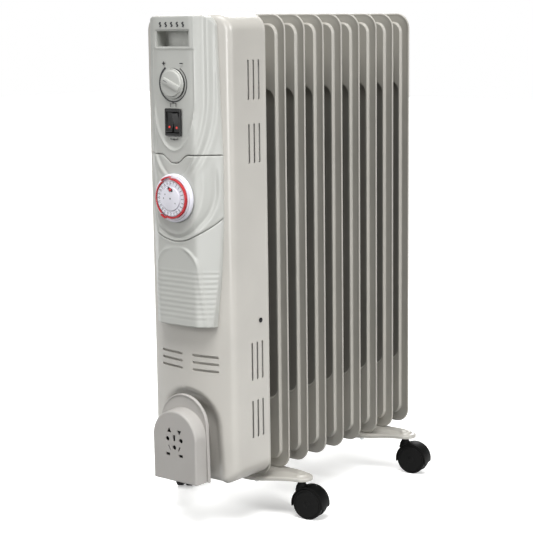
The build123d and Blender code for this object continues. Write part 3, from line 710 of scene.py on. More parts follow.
def makeHousing():
    s = housingSizes
    midZ = (housingLow[2] + housingHigh[2]) / 2
    halfX, halfZ = housingHigh[0], (housingHigh[2] - housingLow[2]) / 2
    outline = roundedRing(halfX, halfZ, s["corner"], 0, midZ, spacing=4, steps=10)
    turns = np.linspace(0, math.pi / 2, 7)
    folds = [s["fold"] * (1 - math.cos(t)) for t in turns]
    rings = [insetRing(outline, d) for d in folds]
    timerZ, knobZ = middleOf("timer_dial")[2], middleOf("thermostat_knob")[2]
    switchZ, pocketZ = middleOf("switch_bezel")[2], middleOf("hand_pocket")[2]
    holes = [roundedRing(29, 14, 2, 0, pocketZ, steps=3), roundedRing(13, 16, 2, 0, switchZ, steps=3),
             circleRing(6, 0, knobZ, 24), circleRing(28, 0, timerZ, 48)]
    flat, faces = fillPlan(rings, holes, grid=(3.2, 3.2))

    def depth(points):
        return housingFront(points) + rollOff(-distanceTo(outline, points), s["fold"])

    edgeY = depth(outline)
    layers = []
    # share of the way from the rear edge to the fold, and how far the wall is drawn in there
    for level, inset in ((0, 0), (0.012, 0), (0.022, 0.45), (0.034, 0.45), (0.044, 0), (0.3, 0),
                         (0.6, 0), (0.9, 0), (1, 0)):
        y = housingHigh[1] + (edgeY - housingHigh[1]) * level
        layers.append(stood(insetRing(outline, inset) if inset else outline, y))
    walls = [strip(a, b) for a, b in zip(layers, layers[1:])]
    shell = shellPiece("housingSkin", [frontSheet((flat, faces), depth), *walls], housingEnamel,
                       s["sheet"], 35)
    # the slots are cut by node-made blocks, then thin blades stand behind them
    sideSlots = {"Columns": 3, "Column Pitch": s["slotPitch"] * mm, "Rows": 1, "Row Pitch": 0.0,
                 "Length": s["slotWidth"] * mm, "Width": s["slotLength"] * mm, "Depth": 0.2,
                 "Rounding": s["slotWidth"] * 0.49 * mm, "Tilt": 0.0, "Material": housingEnamel}
    sideY = housingHigh[1] - s["slotsFromRear"]
    for z in s["sideRows"]:
        cutter = grow("sideCut", slatRows, sideSlots)
        # local X runs to the rear, local Y up, local Z across the housing
        cutter.data.transform(Matrix(((0, 0, 1, -0.1), (1, 0, 0, (sideY - s["slotPitch"]) * mm),
                                      (0, 1, 0, z * mm), (0, 0, 0, 1))))
        cutWith(shell, cutter)
    frontSlots = {"Columns": 2, "Column Pitch": 2 * s["frontX"] * mm, "Rows": s["frontRows"],
                  "Row Pitch": s["frontPitch"] * mm, "Length": s["frontLength"] * mm,
                  "Width": s["frontWidth"] * mm, "Depth": 0.03,
                  "Rounding": s["frontWidth"] * 0.49 * mm, "Tilt": 0.0, "Material": housingEnamel}
    cutter = grow("frontCut", slatRows, frontSlots)
    cutter.data.transform(upright(-s["frontX"], housingLow[1] + 22, s["frontLow"]))
    cutWith(shell, cutter)
    shadeMesh(shell.data, 32)
    place(shell, "heater", "housing_paint", "housing_shell")
    makeFrontBlades(frontSlots)
    makeSideBlades(sideSlots, sideY)
    print("housing ready")


makeHousing()


# ---- control fascia

fasciaSizes = {"wall": 2.2, "gap": 0.9, "roll": 1.3, "holeRoll": 0.8, "grid": 1.25, "flatHalf": 30,
               "flankHalf": 61, "flankFall": 26.5, "setBack": 0.35, "soft": 0.10, "bottom": 251,
               "topHalf": 51.6, "topCorner": 14, "seam": 460, "dip": 10, "dipFlat": 3, "dipSlope": 18,
               "bowlLow": 355, "bowlRise": 29, "bowlHalf": 55.5, "rib": 0.4, "ribPitch": 6.2,
               "ribTop": 322, "ribLow": 257, "archHalf": 33, "archFoot": 318, "archRise": 31,
               "archSplay": 0.105}
fasciaWidths = {"heights": (251, 316, 383, 460, 624.5), "halves": (45, 52.5, 56, 56.5, 51)}
# lines pressed into the fascia: half width, drop and centre height of a U
fasciaLines = {"pad": (33, 65, 530), "flow": (40.5, 102, 535), "bowl": (49, 60, 420),
               "innerBowl": (39, 56, 420)}
# grooves (above 0) and ridges (below 0) beside the flowing line: distance, depth and width
flowWaves = ((0, 1.0, 2.2), (4.4, -1.2, 2.4), (9.0, 0.8, 2.0), (13.5, -0.8, 2.6))
faceY = boxOf("upper_panel")[0][1]
fasciaTop = boxOf("upper_panel")[1][2]
knobCentre, timerCentre = middleOf("thermostat_knob"), middleOf("timer_dial")
switchCentre, pocketCentre = middleOf("switch_bezel"), middleOf("hand_pocket")


def halfWidth(z):  # half width of the fascia at a height
    return np.interp(z, fasciaWidths["heights"], fasciaWidths["halves"])


def seamDip(x):
    s = fasciaSizes
    return s["seam"] - s["dip"] * (1 - smoothStep((np.abs(x) - s["dipFlat"]) / s["dipSlope"]))


def seamBowl(x):
    s = fasciaSizes
    return s["bowlLow"] + s["bowlRise"] * (np.abs(x) / s["bowlHalf"]) ** 2


def topLine(x):
    r = fasciaSizes["topCorner"]
    past = np.clip(np.abs(x) - (fasciaSizes["topHalf"] - r), 0, r)
    return fasciaTop - r + np.sqrt(r * r - past * past)


def bottomLine(x):
    return fasciaSizes["bottom"] + 0 * np.abs(x)


def bandRing(low, high, spacing=1.5):  # the outline of one fascia part between two seam lines
    ends = []
    for line in (low, high):
        x = 60.0
        for _ in range(8):
            x = float(halfWidth(line(x)))
        ends.append(x)
    lowX, highX = ends
    bottomRun = [(x, float(low(x))) for x in np.linspace(-lowX, lowX, 61)]
    heights = np.linspace(float(low(lowX)), float(high(highX)), 40)[1:-1]
    rightRun = [(float(halfWidth(z)), z) for z in heights]
    topRun = [(x, float(high(x))) for x in np.linspace(highX, -highX, 81)]
    leftRun = [(-x, z) for x, z in reversed(rightRun)]
    return spread(bottomRun + rightRun + topRun + leftRun, spacing)


def bowlDistance(flat, halfX, drop, centreZ):  # distance outside a U whose bottom is half an ellipse
    x, z = flat[:, 0], np.minimum(flat[:, 1] - centreZ, 0)
    share = np.sqrt((x / halfX) ** 2 + (z / drop) ** 2) + 1e-9
    slope = np.sqrt((x / halfX ** 2) ** 2 + (z / drop ** 2) ** 2) / share + 1e-9
    return (share - 1) / slope


def hump(distance, width):
    return np.exp(-(distance / width) ** 2)


def fasciaFace(flat):
    s = fasciaSizes
    x, z = flat[:, 0], flat[:, 1]
    t = (np.abs(x) - s["flatHalf"]) / (s["flankHalf"] - s["flatHalf"])
    ramp = (np.sqrt(t * t + s["soft"] ** 2) + t) / 2
    y = faceY + s["setBack"] + s["flankFall"] * ramp
    # shares of the upper, lower and timer parts at each point
    upper = smoothStep((z - 452) / 10)
    lower = smoothStep((350 - z) / 6)
    timerZone = (1 - upper) * (1 - lower)
    pad, flow, bowl, inner = (bowlDistance(flat, *line) for line in fasciaLines.values())
    sunk = smoothStep(-pad / 2.0) * smoothStep((586.5 - z) / 1.2)
    y += upper * (0.9 * sunk - 1.1 * hump(pad + 0.6, 1.7))
    y += smoothStep((z - 422) / 30) * sum(deep * hump(flow - at, wide) for at, deep, wide in flowWaves)
    near = timerZone * smoothStep((458 - z) / 30)
    y += near * (1.7 * hump(bowl, 2.3) - 1.0 * hump(inner, 2.8) - 0.7 * hump(bowl - 5.5, 3.0))
    y -= lower * 1.7 * hump(archDistance(flat), 1.9)
    y -= lower * 0.6 * smoothStep(-archDistance(flat) / 3)
    ribZone = smoothStep((s["ribTop"] - z) / 2.5) * smoothStep((z - s["ribLow"]) / 2)
    y -= lower * ribZone * s["rib"] * (np.cos((z - s["ribLow"]) * 2 * math.pi / s["ribPitch"]) * 0.5)
    return y


def archDistance(flat):  # distance from the arch bead of the ribbed panel
    s = fasciaSizes
    x, z = flat[:, 0], flat[:, 1]
    half = s["archHalf"] + np.clip(s["archFoot"] - z, 0, None) * s["archSplay"]
    rise = np.maximum(z - s["archFoot"], 0)
    share = np.sqrt((x / half) ** 2 + (rise / s["archRise"]) ** 2)
    return (share - 1) * 32  # near the line this is about the distance in millimetres


def makeFasciaPart(name, low, high, holes, node):
    s = fasciaSizes
    outline = bandRing(low, high)
    rolls = (0, 0.12, 0.45, s["roll"])
    rings = [insetRing(outline, d) for d in rolls]
    edges = []
    for hole in holes:
        edges += [insetRing(hole, -d) for d in (0.1, 0.35, 0.8)]
    flat, faces = fillPlan(rings + edges, holes, grid=(s["grid"] * 1.3, s["grid"]))

    def depth(points):
        y = fasciaFace(points) + rollOff(-distanceTo(outline, points), s["roll"])
        for hole in holes:
            y = y + rollOff(np.abs(distanceTo(hole, points)), s["holeRoll"])
        return y

    edgeY = depth(outline)
    footY = np.maximum(bowAt(outline[:, 0]) + 0.6, edgeY + 1.0)
    parts = [frontSheet((flat, faces), depth), strip(stood(outline, footY), stood(outline, edgeY))]
    part = shellPiece(name, parts, panelPlastic, s["wall"])
    place(part, "heater", "panel_plastic", node)


def shifted(line, rise):
    return lambda x: line(x) + rise


def makeFascia():
    half = fasciaSizes["gap"] / 2
    pocketHole = roundedRing(26.5, 10.5, 1.5, 0, pocketCentre[2], spacing=4, steps=4)
    switchHole = roundedRing(11, 14, 1, 0, switchCentre[2], steps=3)
    knobHole = circleRing(6, 0, knobCentre[2], 24)
    timerHole = circleRing(27.5, 0, timerCentre[2], 48)
    makeFasciaPart("upperFascia", shifted(seamDip, half), topLine, [pocketHole, switchHole, knobHole],
                   "upper_panel")
    makeFasciaPart("timerFascia", shifted(seamBowl, half), shifted(seamDip, -half), [timerHole],
                   "timer_panel")
    makeFasciaPart("ribbedFascia", bottomLine, shifted(seamBowl, -half), [], "ribbed_panel")
    print("fascia ready")


makeFascia()

pocketSizes = {"halfX": 26.6, "halfZ": 10.6, "corner": 1.5, "wall": 1.6, "ribPitch": 2.2,
               "ribRise": 0.22}


def makePocket():  # an open cup with a finely ribbed back wall
    low, high = boxOf("hand_pocket")
    s = pocketSizes
    backY = high[1] - s["wall"] - 0.3
    ring = roundedRing(s["halfX"], s["halfZ"], s["corner"], 0, pocketCentre[2], spacing=1.0, steps=4)
    rings = [insetRing(ring, d) for d in (0, 0.4, 0.9)]
    flat, faces = fillPlan(rings, grid=(s["ribPitch"] / 4, 5))

    def depth(points):
        edge = -distanceTo(ring, points)
        ribs = s["ribRise"] * np.cos(points[:, 0] * 2 * math.pi / s["ribPitch"]) * smoothStep(edge / 1.5)
        return backY - rollOff(edge, 0.6) - ribs

    walls = strip(stood(ring, depth(ring)), stood(ring, faceY + 1.9))
    cup = shellPiece("fingerCup", [frontSheet((flat, faces), depth), walls], panelPlastic, s["wall"])
    place(cup, "heater", "panel_plastic", "hand_pocket")


makePocket()


# ---- printed marks: thin raised ink on the fascia, and a dark disc behind the knob that is painted shadow

inkSizes = {"lift": 0.06, "arcInner": 20.7, "arcThick": 2.5, "arcThin": 0.9, "arcStart": 122,
            "arcEnd": 418}


def inkBar(x, z, length, width, turn=0.0, y=None):
    base = faceY + 0.3 if y is None else y
    return facing(barShape(length, width, 0.5, min(length, width) * 0.3, 2), x, base, z, turn)


def inkOnFace(flatPoints, faces):
    return frontSheet((flatPoints, faces), lambda points: fasciaFace(points) - inkSizes["lift"])


def makeScale():  # the arc round the knob, thick on the cold side and thin on the hot side
    s = inkSizes
    turns = np.radians(np.linspace(s["arcStart"], s["arcEnd"], 90))
    inner, outer = [], []
    for i, t in enumerate(turns):
        thick = s["arcThick"] + (s["arcThin"] - s["arcThick"]) * i / (len(turns) - 1)
        for run, radius in ((inner, s["arcInner"]), (outer, s["arcInner"] + thick)):
            run.append((knobCentre[0] + radius * math.cos(t), knobCentre[2] + radius * math.sin(t)))
    flat = np.array(inner + outer)
    count = len(inner)
    faces = [(i, count + i, count + i + 1, i + 1) for i in range(count - 1)]
    arc = makePiece("knobScale", inkOnFace(flat, [tuple(reversed(f)) for f in faces]), inkAndShadeBlack)
    addWall(arc, 0.3)
    settle(arc)
    place(arc, "heater", "switch_black")


def makeMarks():
    knobX, knobZ = knobCentre[0], knobCentre[2]
    marks = []
    for side in (-1, 1):  # plus on the warm side, minus on the cool side
        marks.append(inkBar(knobX + side * 14.0, knobZ + 24.0, 4.8, 1.2))
    marks.append(inkBar(knobX - 14.0, knobZ + 24.0, 1.2, 4.6))
    # painted shadow: a dark disc just wider than the knob skirt stands in for the shade in the gap under
    # the knob
    marks.append(facing(lathe([(0, 0), (18.4, 0), (18.4, 0.2), (0, 0.2)], 64), knobX, faceY + 0.9,
                        knobZ))
    top = switchCentre[2] + 20.5
    marks.append(inkBar(0, top + 2.2, 9, 0.5))
    for side in (-1, 1):
        marks.append(inkBar(side * 4.4, top, 0.5, 4.6))
    marks.append(inkBar(0, top + 3.4, 1.5, 1.5))
    bottom = switchCentre[2] - 20.5
    marks.append(inkBar(0, bottom, 1.9, 1.9))
    for side in (-1, 1):
        marks.append(inkBar(side * 3.2, bottom, 2.6, 0.6))
        marks.append(inkBar(side * 5.2, bottom + 0.8, 0.6, 2.2))
    waves = 5
    for row in range(waves):  # generic heat waves above the pocket
        for step in range(6):
            x = (row - (waves - 1) / 2) * 9 + math.sin(step * math.pi / 2.5) * 0.9
            marks.append(inkBar(x, pocketCentre[2] + 14.3 + step * 0.95, 2.3, 1.2))
    piece = makePiece("printedMarksAndKnobShadow", joined(*marks), inkAndShadeBlack)
    place(piece, "heater", "switch_black")


makeScale()
makeMarks()
print("marks ready")


# ---- thermostat knob

knobSizes = {"barLength": 27.5, "barWidth": 7.0, "barRise": 2.3, "capTop": 3.5, "barTurn": -23.5,
             "barShift": 1.2, "grips": 48, "pointerAt": -7.5}


noPush = {"First Out": 999, "Last Out": 0, "Second First": 999, "Second Last": 0, "Push": 0.0}


def makeKnob():
    low, high = boxOf("thermostat_knob")
    s = knobSizes
    radius = (high[0] - low[0]) / 2
    foot = high[1]
    skirt = lathe([(0, -0.3), (radius - 0.6, -0.3), (radius, 0.2), (radius, 1.1), (radius - 0.4, 1.6),
                   (radius - 1.5, 1.8), (radius - 2.1, 1.8), (radius - 2.3, 3.1), (radius - 2.8, 3.7),
                   (radius - 3.8, 3.9), (0, 4.1)], 96)
    bar = barShape(s["barLength"], s["barWidth"], s["barRise"], 1.8, 4)
    barPoints = [(p[0] + s["barShift"], p[1], p[2] + s["capTop"]) for p in bar[0]]
    shape = joined(facing(skirt, 0, foot, knobCentre[2]),
                   facing((barPoints, bar[1]), 0, foot, knobCentre[2], s["barTurn"]))
    knob = makePiece("warmthKnob", shape, panelPlastic, smooth=40)
    place(knob, "knob", "panel_plastic", "thermostat_knob")
    line = facing(barShape(6.5, 0.7, 0.12, 0.2, 2), 0, foot - s["capTop"] - s["barRise"], knobCentre[2],
                  s["barTurn"])
    turn = math.radians(s["barTurn"])
    shift = Vector((s["pointerAt"] * math.cos(turn), 0.06, s["pointerAt"] * math.sin(turn)))
    line = ([tuple(Vector(p) + shift) for p in line[0]], line[1])
    pointer = makePiece("knobPointer", line, inkGrey)
    place(pointer, "knob", "panel_plastic")
    ring = grow("knobGrips", ringOfBlocks, {
        "Count": s["grips"], "Radius": (radius - 0.15) * mm, "Radial": 0.5 * mm, "Along": 0.9 * mm,
        "Height": 0.9 * mm,
        "Material": panelPlastic, **noPush})
    ring.data.transform(upright(0, foot - 0.8, knobCentre[2]))
    place(ring, "knob", "panel_plastic")


makeKnob()


# ---- switches

switchSizes = {"lensRadius": 1.5, "crownHalf": 10.4, "lampAt": -6.2}


def makeBezel():
    low, high = boxOf("switch_bezel")
    halfX, halfZ = high[0], (high[2] - low[2]) / 2
    outer = roundedRing(halfX, halfZ, 1.5, 0, switchCentre[2], steps=4)
    inner = roundedRing(10, 12.6, 0.6, 0, switchCentre[2], steps=4)
    rings = [outer, insetRing(outer, 0.3), insetRing(outer, 0.8), insetRing(inner, -0.8),
             insetRing(inner, -0.3)]
    flat, faces = fillPlan(rings, [inner])

    def depth(points):
        edge = np.minimum(-distanceTo(outer, points), np.abs(distanceTo(inner, points)))
        return low[1] + rollOff(edge, 0.8)

    face = [stood(ring, depth(ring)) for ring in (outer, inner)]
    shape = joined(frontSheet((flat, faces), depth), strip(stood(outer, low[1] + 1.9), face[0]),
                   strip(face[1], stood(inner, high[1])))
    bezel = makePiece("switchFrame", shape, blackPlasticAndShade)
    addWall(bezel, 0.7)
    settle(bezel)
    place(bezel, "heater", "switch_black", "switch_bezel")


def makeRocker(name, body, node, lean):
    low, high = boxOf(node)
    x = (low[0] + high[0]) / 2
    halfWide = (high[0] - low[0]) / 2
    pivot = faceY + 1.5
    half = switchSizes["crownHalf"]

    def crownAt(along):  # the slightly hollow face
        return 1.8 + 1.5 * (abs(along) / half) ** 1.5

    crown = [(-12, 1.0), (-11.9, 2.8), (-11.3, 3.5)]
    for i in range(9):
        along = -half + 2 * half * i / 8
        crown.append((along, crownAt(along)))
    crown += [(11.3, 3.5), (11.9, 2.8), (12, 1.0), (3, -2.5), (-3, -2.5)]
    turn = math.radians(lean)

    def leaned(along, out):  # depth and height of a point that leans with the rocker
        return (pivot - (out * math.cos(turn) - along * math.sin(turn)),
                switchCentre[2] + out * math.sin(turn) + along * math.cos(turn))

    runs = []
    for side, inset in ((-1, 0.0), (-1, 0.35), (1, 0.35), (1, 0.0)):
        run = []
        for along, out in crown:
            reach = out - (0.3 if inset == 0.0 and out > 0 else 0)
            run.append((x + side * (halfWide - inset), *leaned(along, reach)))
        runs.append(run)
    parts = [strip(a, b) for a, b in zip(runs, runs[1:])]
    count = len(crown)
    parts += [(runs[0], [tuple(reversed(range(count)))]), (runs[-1], [tuple(range(count))])]
    rocker = makePiece(name, joined(*parts), blackPlasticAndShade, smooth=30)
    faceOutwards(rocker)
    place(rocker, body, "rocker_lens", node)
    lens = lathe(rounded(switchSizes["lensRadius"], -0.6, 0.35, 0.3), 24)
    along = switchSizes["lampAt"]
    lamp = makePiece(name + "Lamp", facing(lens, x, *leaned(along, crownAt(along))), lensRed)
    place(lamp, body, "rocker_lens")


makeBezel()
makeRocker("leftRocker", "left_rocker", "rocker_left", 8)
makeRocker("rightRocker", "right_rocker", "rocker_right", -8)
print("knob and switches ready")


# ---- timer

timerSizes = {"tappets": 96, "tappetRadius": 23.4, "tappetRadial": 1.5, "tappetAlong": 1.3,
              "push": 2.5, "firstOut": (24, 34), "secondOut": (61, 67), "numberHeight": 3.4,
              "numberRadius": 17.9, "slotRise": 10.8, "slotTurn": -25}


def ringPlaced(name, values, y, body, slotName):
    piece = grow(name, ringOfBlocks, noPush | values)
    piece.data.transform(upright(0, y, timerCentre[2]))
    return place(piece, body, slotName)


def makeTimer():
    s = timerSizes
    low, high = boxOf("timer_base")
    radius = (high[0] - low[0]) / 2
    foot = faceY - 0.2
    drumFront = faceY - 4.3
    depth = foot - drumFront
    drum = lathe([(0, -0.6), (27, -0.6), (27, 0), (radius, 0), (radius, depth - 1.3),
                  (radius - 0.4, depth - 0.5), (radius - 1.3, depth), (27.4, depth + 0.35),
                  (27.0, depth + 0.1), (26.9, depth - 0.6), (2.6, depth - 0.6), (2.5, depth + 2.6),
                  (0, depth + 2.6)], 96)
    piece = makePiece("timerDrum", facing(drum, 0, foot, timerCentre[2]), timerWhite)
    place(piece, "heater", "timer_white", "timer_base")
    dialLow, dialHigh = boxOf("timer_dial")
    dialFoot, dialFront = dialHigh[1], dialLow[1]
    tall = dialFoot - dialFront
    plate = lathe([(2.6, 0), (21.8, 0), (21.8, tall - 0.3), (21.5, tall), (15.8, tall),
                   (15.4, tall - 0.3), (15.3, 1.2), (2.6, 1.2), (2.6, 0)], 96)
    piece = makePiece("hourPlate", facing(plate, 0, dialFoot, timerCentre[2]), timerWhite)
    place(piece, "timer_ring", "timer_white", "timer_dial")
    tappetLow, tappetHigh = boxOf("timer_tappets")
    middleY = (tappetLow[1] + tappetHigh[1]) / 2
    tappets = ringPlaced("tappetRing", {
        "Count": s["tappets"], "Radius": s["tappetRadius"] * mm, "Radial": s["tappetRadial"] * mm,
        "Along": s["tappetAlong"] * mm, "Height": float(tappetHigh[1] - tappetLow[1]) * mm,
        "Push": s["push"] * mm,
        "First Out": s["firstOut"][0], "Last Out": s["firstOut"][1], "Second First": s["secondOut"][0],
        "Second Last": s["secondOut"][1], "Material": timerRed}, middleY, "timer_ring", "timer_red")
    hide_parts("timer_tappets")
    sleeve = lathe([(24.9, 0), (26.7, 0), (26.7, 1.5), (24.9, 1.5), (24.9, 0)], 96)
    piece = makePiece("tappetSleeve", facing(sleeve, 0, tappetHigh[1], timerCentre[2]), timerWhite)
    place(piece, "timer_ring", "timer_white")
    for name, count, at, long, wide in (("quarterTicks", 96, 21.0, 0.9, 0.34),
                                        ("hourTicks", 24, 20.3, 2.2, 0.6)):
        ringPlaced(name, {"Count": count, "Radius": at * mm, "Radial": long * mm, "Along": wide * mm,
                          "Height": 0.12 * mm,
                          "Material": inkGrey}, dialFront - 0.02, "timer_ring", "timer_white")
    makeNumbers(dialFront)
    hubLow, hubHigh = boxOf("timer_hub")
    hubTall = hubHigh[1] - hubLow[1]
    rings = [circleRing(14.9, 0, 0, 64), circleRing(14.6, 0, 0, 64), circleRing(14.2, 0, 0, 64)]
    slotTurn = math.radians(s["slotTurn"])
    slot = roundedRing(4.5, 2.3, 2.2, steps=5) @ [[math.cos(slotTurn), math.sin(slotTurn)],
                                                 [-math.sin(slotTurn),
                                                  math.cos(slotTurn)]] + (0, s["slotRise"])
    flat, faces = fillPlan(rings, [slot])
    top = np.column_stack([flat, hubTall - rollOff(14.9 - np.hypot(flat[:, 0], flat[:, 1]), 0.7)])
    outer = [[(p[0], p[1], level) for p in rings[0]] for level in (0.0, hubTall - 0.7)]
    inner = [[(p[0], p[1], level) for p in slot] for level in (hubTall, 0.6)]
    floor = [(p[0], p[1], 0.6) for p in slot]
    base = [(p[0], p[1], 0.0) for p in rings[0]]
    shape = joined((top, faces), strip(*outer), strip(*inner), (floor, [tuple(range(len(floor)))]),
                   (base, [tuple(reversed(range(len(base))))]))
    hub = makePiece("timerCentre", facing(shape, 0, hubHigh[1], timerCentre[2]), timerWhite)
    place(hub, "heater", "timer_white", "timer_hub")
    groove = facing(lathe([(0, 0), (1.0, 0), (1.0, 0.15), (0, 0.15)], 12), 0, hubLow[1] + 0.05,
                    timerCentre[2])
    dark = [groove]
    for angle, at in ((-35, 9.5), (180, 10.5), (150, 9.5)):
        t = math.radians(angle)
        dark.append(inkBar(at * math.cos(t), timerCentre[2] + at * math.sin(t), 1.1, 1.9, 0,
                           hubLow[1] + 0.42))
    slotFloor = facing(barShape(8.6, 4.2, 0.2, 1.9, 5), 0, hubHigh[1] - 0.6,
                       timerCentre[2] + s["slotRise"], s["slotTurn"])
    piece = makePiece("timerMarks", joined(*dark, slotFloor), inkAndShadeBlack)
    place(piece, "heater", "timer_white")
    leverLow, leverHigh = boxOf("mode_lever")
    lever = lathe([(0, 0), (1.9, 0), (1.9, 1.5), (1.6, 2.0), (1.0, 2.2), (0, 2.2)], 32)
    centre = (leverLow + leverHigh) / 2
    piece = makePiece("modeSlider", facing(lever, centre[0], leverHigh[1], centre[2]), timerRed)
    place(piece, "mode_slider", "timer_red", "mode_lever")


def makeNumbers(dialFront):  # hour numbers round the plate, reading from its centre
    s = timerSizes
    group = bmesh.new()
    for hour in range(1, 25):
        curve = bpy.data.curves.new(f"hour{hour}", "FONT")
        curve.body = str(hour)
        curve.size = s["numberHeight"] * mm
        curve.align_x = "CENTER"
        curve.align_y = "CENTER"
        curve.extrude = 0.05 * mm
        curve.resolution_u = 2
        text = bpy.data.objects.new(f"hour{hour}", curve)
        bpy.context.scene.collection.objects.link(text)
        mesh = bpy.data.meshes.new_from_object(text.evaluated_get(bpy.context.evaluated_depsgraph_get()))
        bpy.data.objects.remove(text)
        turn = math.radians(90 - 15 * hour)
        spin = Matrix.Rotation(turn - math.pi / 2, 4, "Z")
        shift = Matrix.Translation((s["numberRadius"] * mm * math.cos(turn),
                                    s["numberRadius"] * mm * math.sin(turn), 0))
        mesh.transform(shift @ spin)
        group.from_mesh(mesh)
    mesh = bpy.data.meshes.new("hourNumbers")
    group.to_mesh(mesh)
    group.free()
    mesh.materials.clear()
    mesh.materials.append(inkGrey)
    mesh.transform(upright(0, dialFront - 0.03, timerCentre[2]))
    piece = bpy.data.objects.new("hourNumbers", mesh)
    bpy.context.scene.collection.objects.link(piece)
    place(piece, "timer_ring", "timer_white")


makeTimer()
print("timer ready")


# ---- cord tidy

tidySizes = {"flange": (39, 37.5, 56, 124, 163), "raised": (35.5, 36, 44, 113, 146), "shoulder": 3.2,
             "rim": 2.2, "wall": 1.6, "grid": 2.4}


def tidyHoles():
    holes = []
    for x, z in ((-11, 109), (11, 109), (0, 99)):
        holes.append(circleRing(3.0, x, z, 20))
    holes.append(roundedRing(1.8, 4, 0.4, 0, 111, steps=2))
    for x in (-10.5, 10.5):
        holes.append(roundedRing(3.3, 1.9, 0.5, x, 89.5, steps=2))
    for side in (-1, 1):
        corners = [(side * 8 + 4.4 * math.cos(a), 119.5 + 4.4 * math.sin(a))
                   for a in np.radians(np.array((90, 210, 330)) + 90 - side * 30)]
        holes.append(spread(corners, 1.5))
        c, s = math.cos(math.radians(-side * 25)), math.sin(math.radians(-side * 25))
        slit = roundedRing(0.8, 3.25, 0.3, 0, 0, steps=2)
        holes.append(np.array([(side * 8 + c * x - s * z, 98 + s * x + c * z) for x, z in slit]))
    return holes


def makeTidy():
    s = tidySizes
    low, high = boxOf("cord_cover")
    flangeFront = high[1] - 3
    outline = archRing(*s["flange"])
    raised = archRing(*s["raised"])
    holes = tidyHoles()
    rings = [insetRing(outline, d) for d in (0, 0.2, 0.7, 1.4, s["rim"], s["rim"] + 0.8)]
    rings += [insetRing(raised, d) for d in (-0.25, 0, 0.5, 1.0, 1.5, 2.0, 2.6, 3.2, 4.0)]
    flat, faces = fillPlan(rings, holes, grid=(s["grid"], s["grid"]))

    def depth(points):
        edge = -distanceTo(outline, points)
        inside = -distanceTo(raised, points)
        share = np.clip(inside / s["shoulder"], 0, 1)
        step = 0.80 * smoothStep((inside + 0.2) / 0.7) + 0.20 * np.sqrt(1 - (1 - share) ** 2)
        profile = np.where(inside > -0.2, step, 0)
        rimBead = 1.0 * smoothStep((s["rim"] + 0.6 - edge) / 1.2) * (inside < -0.2)
        y = flangeFront - (flangeFront - low[1]) * profile - rimBead
        return y + rollOff(edge, 1.2)

    edge = strip(stood(outline, high[1]), stood(outline, depth(outline)))
    cover = shellPiece("plugCover", [frontSheet((flat, faces), depth), edge], tidyPlastic, s["wall"])
    place(cover, "heater", "tidy_plastic", "cord_cover")
    # painted shade: a dark sheet behind the holes keeps them black, standing in for the shadow inside
    # the deep pockets for the pins
    liner = archRing(26, 25, 78, 118, 132)
    flat, faces = fillPlan([liner], grid=(6, 6))
    back = frontSheet((flat, faces), lambda p: np.full(len(p), low[1] + 9.0))
    piece = makePiece("pinPocketShade", back, blackPlasticAndShade)
    addWall(piece, 1.0)
    settle(piece)
    place(piece, "heater", "switch_black")
    print("cord tidy ready")


makeTidy()


# ---- feet

footSizes = {"tip": 15, "root": 32, "rootX": 44, "sheet": 2.0, "roll": 2.4, "top": 45.6, "low": 40.8,
             "bossRise": 2.6, "ridgeFrom": 40, "ridgeHalf": 8, "ridgeRise": 1.9, "grid": 1.7,
             "tipLift": 4.0}


def footRing(tipX):
    s = footSizes
    right = [(tipX + s["tip"] * math.sin(t),
              -s["tip"] * math.cos(t)) for t in np.linspace(0.12, math.pi - 0.12, 15)]
    left = [(-x, -y) for x, y in right]
    outline = [(-s["rootX"], -s["root"]), (s["rootX"], -s["root"]), *right, (s["rootX"], s["root"]),
               (-s["rootX"], s["root"]), *left]
    ring = spread(outline, 4.0)
    for _ in range(3):  # ease the corners where the wings leave the middle
        ring = (np.roll(ring, 1, axis=0) + 2 * ring + np.roll(ring, -1, axis=0)) / 4
    return ring


